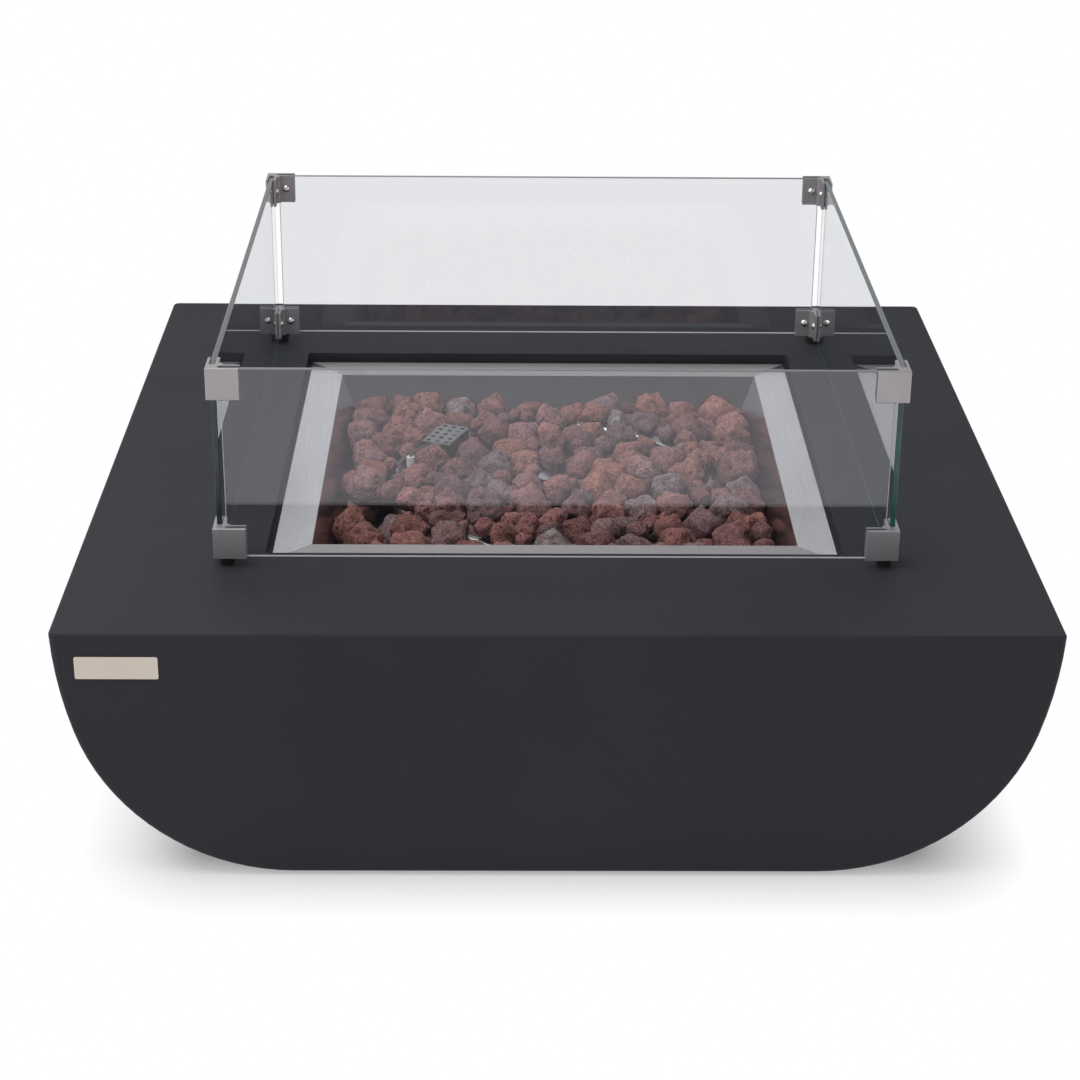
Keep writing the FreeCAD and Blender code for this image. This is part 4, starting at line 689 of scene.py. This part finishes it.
def rock_surface(cell, grid, shift):
    """Points of one rock, their pore depth and their painted light. The distance from the middle is the soft
    minimum (sum of (facing share / facet distance) ^ power) ^ (-1 / power), plus lumps and crags, less bites
    and pores. Painted light is high on lumps and on the rock's upper side. It is low on the sides, on the
    underside and in bites, which makes painted shade there."""
    middle, normals, distances = cell
    facing = np.clip(grid @ normals.T, 0, None) / distances
    reach = (facing ** corner_power).sum(axis=1) ** (-1 / corner_power)
    scale = min(1.0, reach.mean() / full_size)
    spots = (middle + grid * reach[:, None]) / scale + shift
    bites = pores(spots, size=0.026, radius=0.0105, share=0.65, seed=5)
    lumps = 0.25 - np.abs(blobs(spots, size=0.0125, seed=11))
    crags = blobs(spots, size=0.0062, seed=23)
    crags = crags + 0.55 * blobs(spots, size=0.0031, seed=29) + 0.35 * blobs(spots, size=0.0018, seed=37)
    wide = pores(spots, size=0.0078, radius=0.0026, share=0.5, seed=31)
    fine = pores(spots, size=0.0036, radius=0.0014, share=0.6, seed=47)
    relief = lump_height * lumps + crag_height * crags - bite_depth * bites
    reach = reach + scale * (relief - wide_depth * wide - fine_depth * fine - skin_loss)
    # Painted light and shade: paler on lumps and on the upper side, darker on the sides, the underside and in
    # bites.
    painted_light = 0.5 + relief / relief_span + top_painted_light * (grid[:, 2] - 0.5)
    return middle + grid * reach[:, None], np.maximum(wide, fine_darkness * fine), painted_light


first_rock = rock_surface(top_cells[0], balls[7][0], 0.0)[0]
print("the first rock is", (first_rock.max(axis=0) - first_rock.min(axis=0)).round(3), "wide")

# %% [markdown]
# A pile is one piece made of many rocks. The rocks on top make six piles, in rows from front to back, and
# those below make one. One piece for every rock would be 261 pieces to carry. Each point stores how deep it
# lies in a pore and its painted light and shade, and all points of a rock share one number, so that the
# finish can use them.

# %% Grow the rocks
face_width, largest_shift = 0.0016, 5
rng = np.random.default_rng(7)


def rock_pile(name, cells, detail=1.0):
    """One piece made of many rocks. A rock gets the ball whose faces come out nearest to face_width wide,
    or wider where the detail is below 1."""
    parts, faces, start = [], [], 0
    for cell in cells:
        wanted = detail * np.pi / 2 * cell[2].mean() / face_width
        grid, grid_faces = balls[min(balls, key=lambda cells: abs(cells - wanted))]
        surface, depth, painted_light = rock_surface(cell, grid, rng.uniform(0, largest_shift))
        parts.append((surface, depth, painted_light, np.full(len(grid), rng.uniform(0, 1))))
        faces.append(grid_faces + start)
        start += len(grid)
    points, depths, painted_light, shades = (np.concatenate(column) for column in zip(*parts))
    mesh = bpy.data.meshes.new(name)
    mesh.from_pydata(points, [], np.concatenate(faces))
    mesh.shade_smooth()
    for label, values in (("pore", depths), ("painted_light", painted_light), ("shade", shades)):
        mesh.attributes.new(label, "FLOAT", "POINT").data.foreach_set("value", values)
    piece = bpy.data.objects.new(name, mesh)
    bpy.context.scene.collection.objects.link(piece)
    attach(piece, "table")
    print(name, "has", len(cells), "rocks and", 2 * len(mesh.polygons), "triangles")
    return piece


row_count = 6
in_row = -(-len(top_cells) // row_count)
rows = [top_cells[row * in_row:(row + 1) * in_row] for row in range(row_count)]
rocks = [rock_pile("lava_row_%d" % (row + 1), cells) for row, cells in enumerate(rows)]
for pile in rocks:
    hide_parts("lava_rocks")
rocks.append(rock_pile("lava_underlayer", bed_cells, detail=0.45))
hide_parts("lava_bed")

# %% [markdown]
# ## Lava rock: the finish
# Most rocks are red-brown to mauve, some are rusty orange and a few are grey. A handful of materials would
# repeat, so each rock's own number picks its colour from a ramp. The same number, spread out anew, makes
# the whole rock lighter or darker, and noise adds patches.

# %% Colours of the lava
number_spread = 13.7
lava = finish("porous_lava", (0.2, 0.09, 0.07), 0.92, specular=0.15)
shade_number = node(lava, "Attribute", attribute_name="shade").outputs["Fac"]
patches = noise(lava, 0.010, detail=5, rough=0.65)
picked = calculate(lava, "ADD", shade_number, between(lava, patches, -0.16, 0.10))
colour_stops = ((0.0, (0.425, 0.195, 0.143)), (0.10, (0.40, 0.182, 0.153)), (0.40, (0.38, 0.180, 0.167)),
                (0.74, (0.34, 0.180, 0.174)), (0.92, (0.28, 0.194, 0.190)), (1.0, (0.37, 0.32, 0.315)))
rock_colour = tone(lava, picked, *colour_stops)
own_number = calculate(lava, "FRACT", calculate(lava, "MULTIPLY", shade_number, number_spread))
own_light = between(lava, own_number, 0.68, 1.12, 0, 1)
print("rocks pick their colour from", len(colour_stops), "stops")

# %% [markdown]
# Pores are painted dark because little light gets out of them. Lumps and upper sides are painted pale as
# painted light, and the sides, undersides and bites darker as painted shade. Pits too fine for the mesh come
# from scattered spots. They darken the colour as painted shade, and the larger ones also go into the bump.
# Each of these is a factor on the light that is left.

# %% Pores and light of the lava
pits_per_metre, small_pits_per_metre = 330.0, 620.0
pit_depth, speckle_depth = 0.0007, 0.0009
pore_depth = node(lava, "Attribute", attribute_name="pore").outputs["Fac"]
painted_light_here = node(lava, "Attribute", attribute_name="painted_light").outputs["Fac"]
speckle = noise(lava, 0.0016, detail=4, rough=0.75)
pits = spots_apart(lava, pits_per_metre)
small_pits = spots_apart(lava, small_pits_per_metre)
pit_light = calculate(lava, "MULTIPLY", between(lava, pits, 0.34, 1.0, 0.14, 0.38),
                      between(lava, small_pits, 0.45, 1.15, 0.2, 0.45))
light_left = between(lava, pore_depth, 1.0, 0.45, 0.05, 0.8)
for factor in (pit_light, own_light, between(lava, speckle, 0.45, 1.65, 0.3, 0.7),
               between(lava, painted_light_here, 0.55, 1.15, 0.0, 0.9)):
    light_left = calculate(lava, "MULTIPLY", light_left, factor)
dimmed = node(lava, "Mix", {"Factor": 1.0, "A": rock_colour, "B": light_left}, data_type="RGBA",
              blend_type="MULTIPLY")
plug(lava, dimmed.outputs["Result"], "Base Color")
lava_relief = bump(lava, between(lava, pits, 0.0, 1.0, 0.1, 0.45), pit_depth)
plug(lava, bump(lava, speckle, speckle_depth, onto=lava_relief), "Normal")
for pile in rocks:
    pile.data.materials.append(lava)
print(lava.name, "on", [pile.name for pile in rocks])

# %% [markdown]
# ## The floor
# The floor is pale and matt. Near the table it is shaded like any surface, so the table's soft shadow lies
# on it. Further out it turns into plain white for the camera, and for rays that glass and metal send on, so
# that they show the same white. A lamp bright enough to bleach the floor would bleach the table as well.

# %% Floor
floor_size, fade_width = 30.0, 0.15
shaded_reach = (0.38, 0.47, 0)
half = floor_size / 2
floor_corners = [(-half, -half, 0), (half, -half, 0), (half, half, 0), (-half, half, 0)]
floor_mesh = bpy.data.meshes.new("floor")
floor_mesh.from_pydata(floor_corners, [], [(0, 1, 2, 3)])
floor = bpy.data.objects.new("floor", floor_mesh)
bpy.context.scene.collection.objects.link(floor)
floor_finish = finish("pale_floor", (0.9, 0.9, 0.9), 0.9, specular=0.1)
floor_mesh.materials.append(floor_finish)
print("floor is", floor_size, "m wide")

# %% [markdown]
# How far a point lies outside the shaded field is a sum on its coordinates: take away the field's reach,
# keep what is above zero, and measure the length. The white fades in over the first 15 cm of that distance.

# %% White round the table
beside = vector_sum(floor_finish, "ABSOLUTE", place(floor_finish))
beside = vector_sum(floor_finish, "SUBTRACT", beside, shaded_reach)
beside = vector_sum(floor_finish, "MAXIMUM", beside)
out_way = node(floor_finish, "VectorMath", {0: beside}, operation="LENGTH").outputs["Value"]
far_off = between(floor_finish, out_way, 0.0, 1.0, 0.0, fade_width)
paths = node(floor_finish, "LightPath")
seen = calculate(floor_finish, "MAXIMUM", paths.outputs["Is Camera Ray"], paths.outputs["Is Glossy Ray"])
seen = calculate(floor_finish, "MAXIMUM", seen, paths.outputs["Is Transmission Ray"])
white = node(floor_finish, "Emission", {"Color": (1, 1, 1, 1), "Strength": 1.0})
floor_shown = node(floor_finish, "MixShader", {
    0: calculate(floor_finish, "MULTIPLY", far_off, seen),
    1: floor_finish.node_tree.nodes["Principled BSDF"].outputs[0], 2: white.outputs[0]})
floor_output = floor_finish.node_tree.nodes["Material Output"]
floor_finish.node_tree.links.new(floor_shown.outputs[0], floor_output.inputs["Surface"])
print("the floor is white from", fade_width, "m outside the shaded field")

# %% [markdown]
# ## The sky
# Steel shows what stands round it, so the sky is a studio. Behind the table it is white up to about 24
# degrees, and grey above. Behind the camera it is dark, with a bright soft box on either side, and the
# pan's sloping back wall mirrors the dark gap between them. The left is brighter than the right. Boxes and
# backdrops could be modelled, but a ramp over the direction needs no surfaces. Here each ramp runs over the
# height of the direction, from the horizon at 0 to straight up at 1.

# %% Brightness by height
studio = bpy.data.worlds.new("studio")
bpy.context.scene.world = studio
studio.use_nodes = True
way = node(studio, "SeparateXYZ", {"Vector": node(studio, "TexCoord").outputs["Generated"]})
bright_side = tone(studio, way.outputs["Z"], (0.0, (1.0, 1.0, 1.0)), (0.40, (1.0, 1.0, 1.0)),
                   (0.52, (0.5, 0.5, 0.51)), (0.75, (0.3, 0.3, 0.31)), (1.0, (0.4, 0.4, 0.41)))
dark_side = tone(studio, way.outputs["Z"], (0.0, (0.55, 0.55, 0.56)), (0.1, (0.14, 0.135, 0.13)),
                 (0.55, (0.10, 0.097, 0.095)), (1.0, (0.4, 0.4, 0.41)))
box_side = tone(studio, way.outputs["Z"], (0.0, (0.6, 0.6, 0.61)), (0.2, (0.9, 0.9, 0.91)),
                (0.62, (0.9, 0.9, 0.91)), (0.75, (0.35, 0.35, 0.36)), (1.0, (0.4, 0.4, 0.41)))
print("three ramps of", studio.name, "are ready")

# %% [markdown]
# The direction to the side and to the back picks between the ramps. The camera itself sees plain white, and
# so does a ray through the glass near the horizon, which keeps the panes clear.

# %% Sides of the sky
gap_start, gap_end = 0.22, 0.32
dark_until, bright_from = -0.45, 0.3
left_light, right_light, side_reach = 1.18, 0.76, 0.55
horizon_height = 0.12
beside_camera = between(studio, calculate(studio, "ABSOLUTE", way.outputs["X"]), 0.0, 1.0, gap_start, gap_end)
to_back = between(studio, way.outputs["Y"], 0.0, 1.0, dark_until, bright_from)
from_left = between(studio, way.outputs["X"], left_light, right_light, -side_reach, side_reach)
camera_side = either(studio, beside_camera, dark_side, box_side)
sky_light = either(studio, to_back, camera_side, bright_side)
sky_light = node(studio, "VectorMath", {0: sky_light, "Scale": from_left}, operation="SCALE")
sky_paths = node(studio, "LightPath")
near_horizon = calculate(studio, "LESS_THAN", way.outputs["Z"], horizon_height)
through_glass = calculate(studio, "MULTIPLY", sky_paths.outputs["Is Transmission Ray"], near_horizon)
backdrop = calculate(studio, "MAXIMUM", sky_paths.outputs["Is Camera Ray"], through_glass)
sky_seen = either(studio, backdrop, sky_light.outputs["Vector"], (1, 1, 1, 1))
background = studio.node_tree.nodes["Background"]
studio.node_tree.links.new(sky_seen, background.inputs["Color"])
background.inputs["Strength"].default_value = 1.0
print("the sky is", left_light, "bright on the left and", right_light, "on the right")

# %% [markdown]
# ## The lamp
# One big soft lamp hangs above and to the left. Its size keeps the shadow under the table soft. A small lamp
# would draw a hard edge on the floor.

# %% Lamp
lamp_data = bpy.data.lights.new("soft_box", "AREA")
lamp_data.shape = "RECTANGLE"
lamp_data.size, lamp_data.size_y = 2.6, 2.0
lamp_data.energy = 44
lamp = bpy.data.objects.new("soft_box", lamp_data)
bpy.context.scene.collection.objects.link(lamp)
lamp.location = (-1.1, -0.6, 2.6)
lamp.rotation_euler = (-0.22, -0.42, 0)
print("lamp at", tuple(round(value, 2) for value in lamp.location))

# %% [markdown]
# ## Camera
# The camera stands where the photo was taken: nearly three metres in front, looking down by 24 degrees,
# with a long lens and a slight roll. It could be aimed at an empty object. Here its place and three angles
# were fitted to the edges of the table, so its axes are worked out from them and go into its matrix.

# %% Camera
camera_place = (-0.05342, -2.85363, 1.44955)
yaw, pitch, roll = np.radians((-0.805, 24.274, 0.527))
upwards = np.array((0, 0, 1))
level_right = np.array((np.cos(yaw), np.sin(yaw), 0))
level_ahead = np.array((-np.sin(yaw), np.cos(yaw), 0))
ahead = level_ahead * np.cos(pitch) - upwards * np.sin(pitch)
above = upwards * np.cos(pitch) + level_ahead * np.sin(pitch)
right = level_right * np.cos(roll) + above * np.sin(roll)
above = above * np.cos(roll) - level_right * np.sin(roll)
camera_data = bpy.data.cameras.new("photo_camera")
camera_data.sensor_width = 36.0
camera_data.lens = 82.458
camera = bpy.data.objects.new("photo_camera", camera_data)
bpy.context.scene.collection.objects.link(camera)
turned = np.eye(4)
turned[:3, 0], turned[:3, 1], turned[:3, 2] = right, above, -ahead
turned[:3, 3] = camera_place
camera.matrix_world = Matrix(turned.tolist())
bpy.context.scene.camera = camera
bpy.context.scene.view_settings.view_transform = "Standard"
print("camera looks along", ahead.round(3))
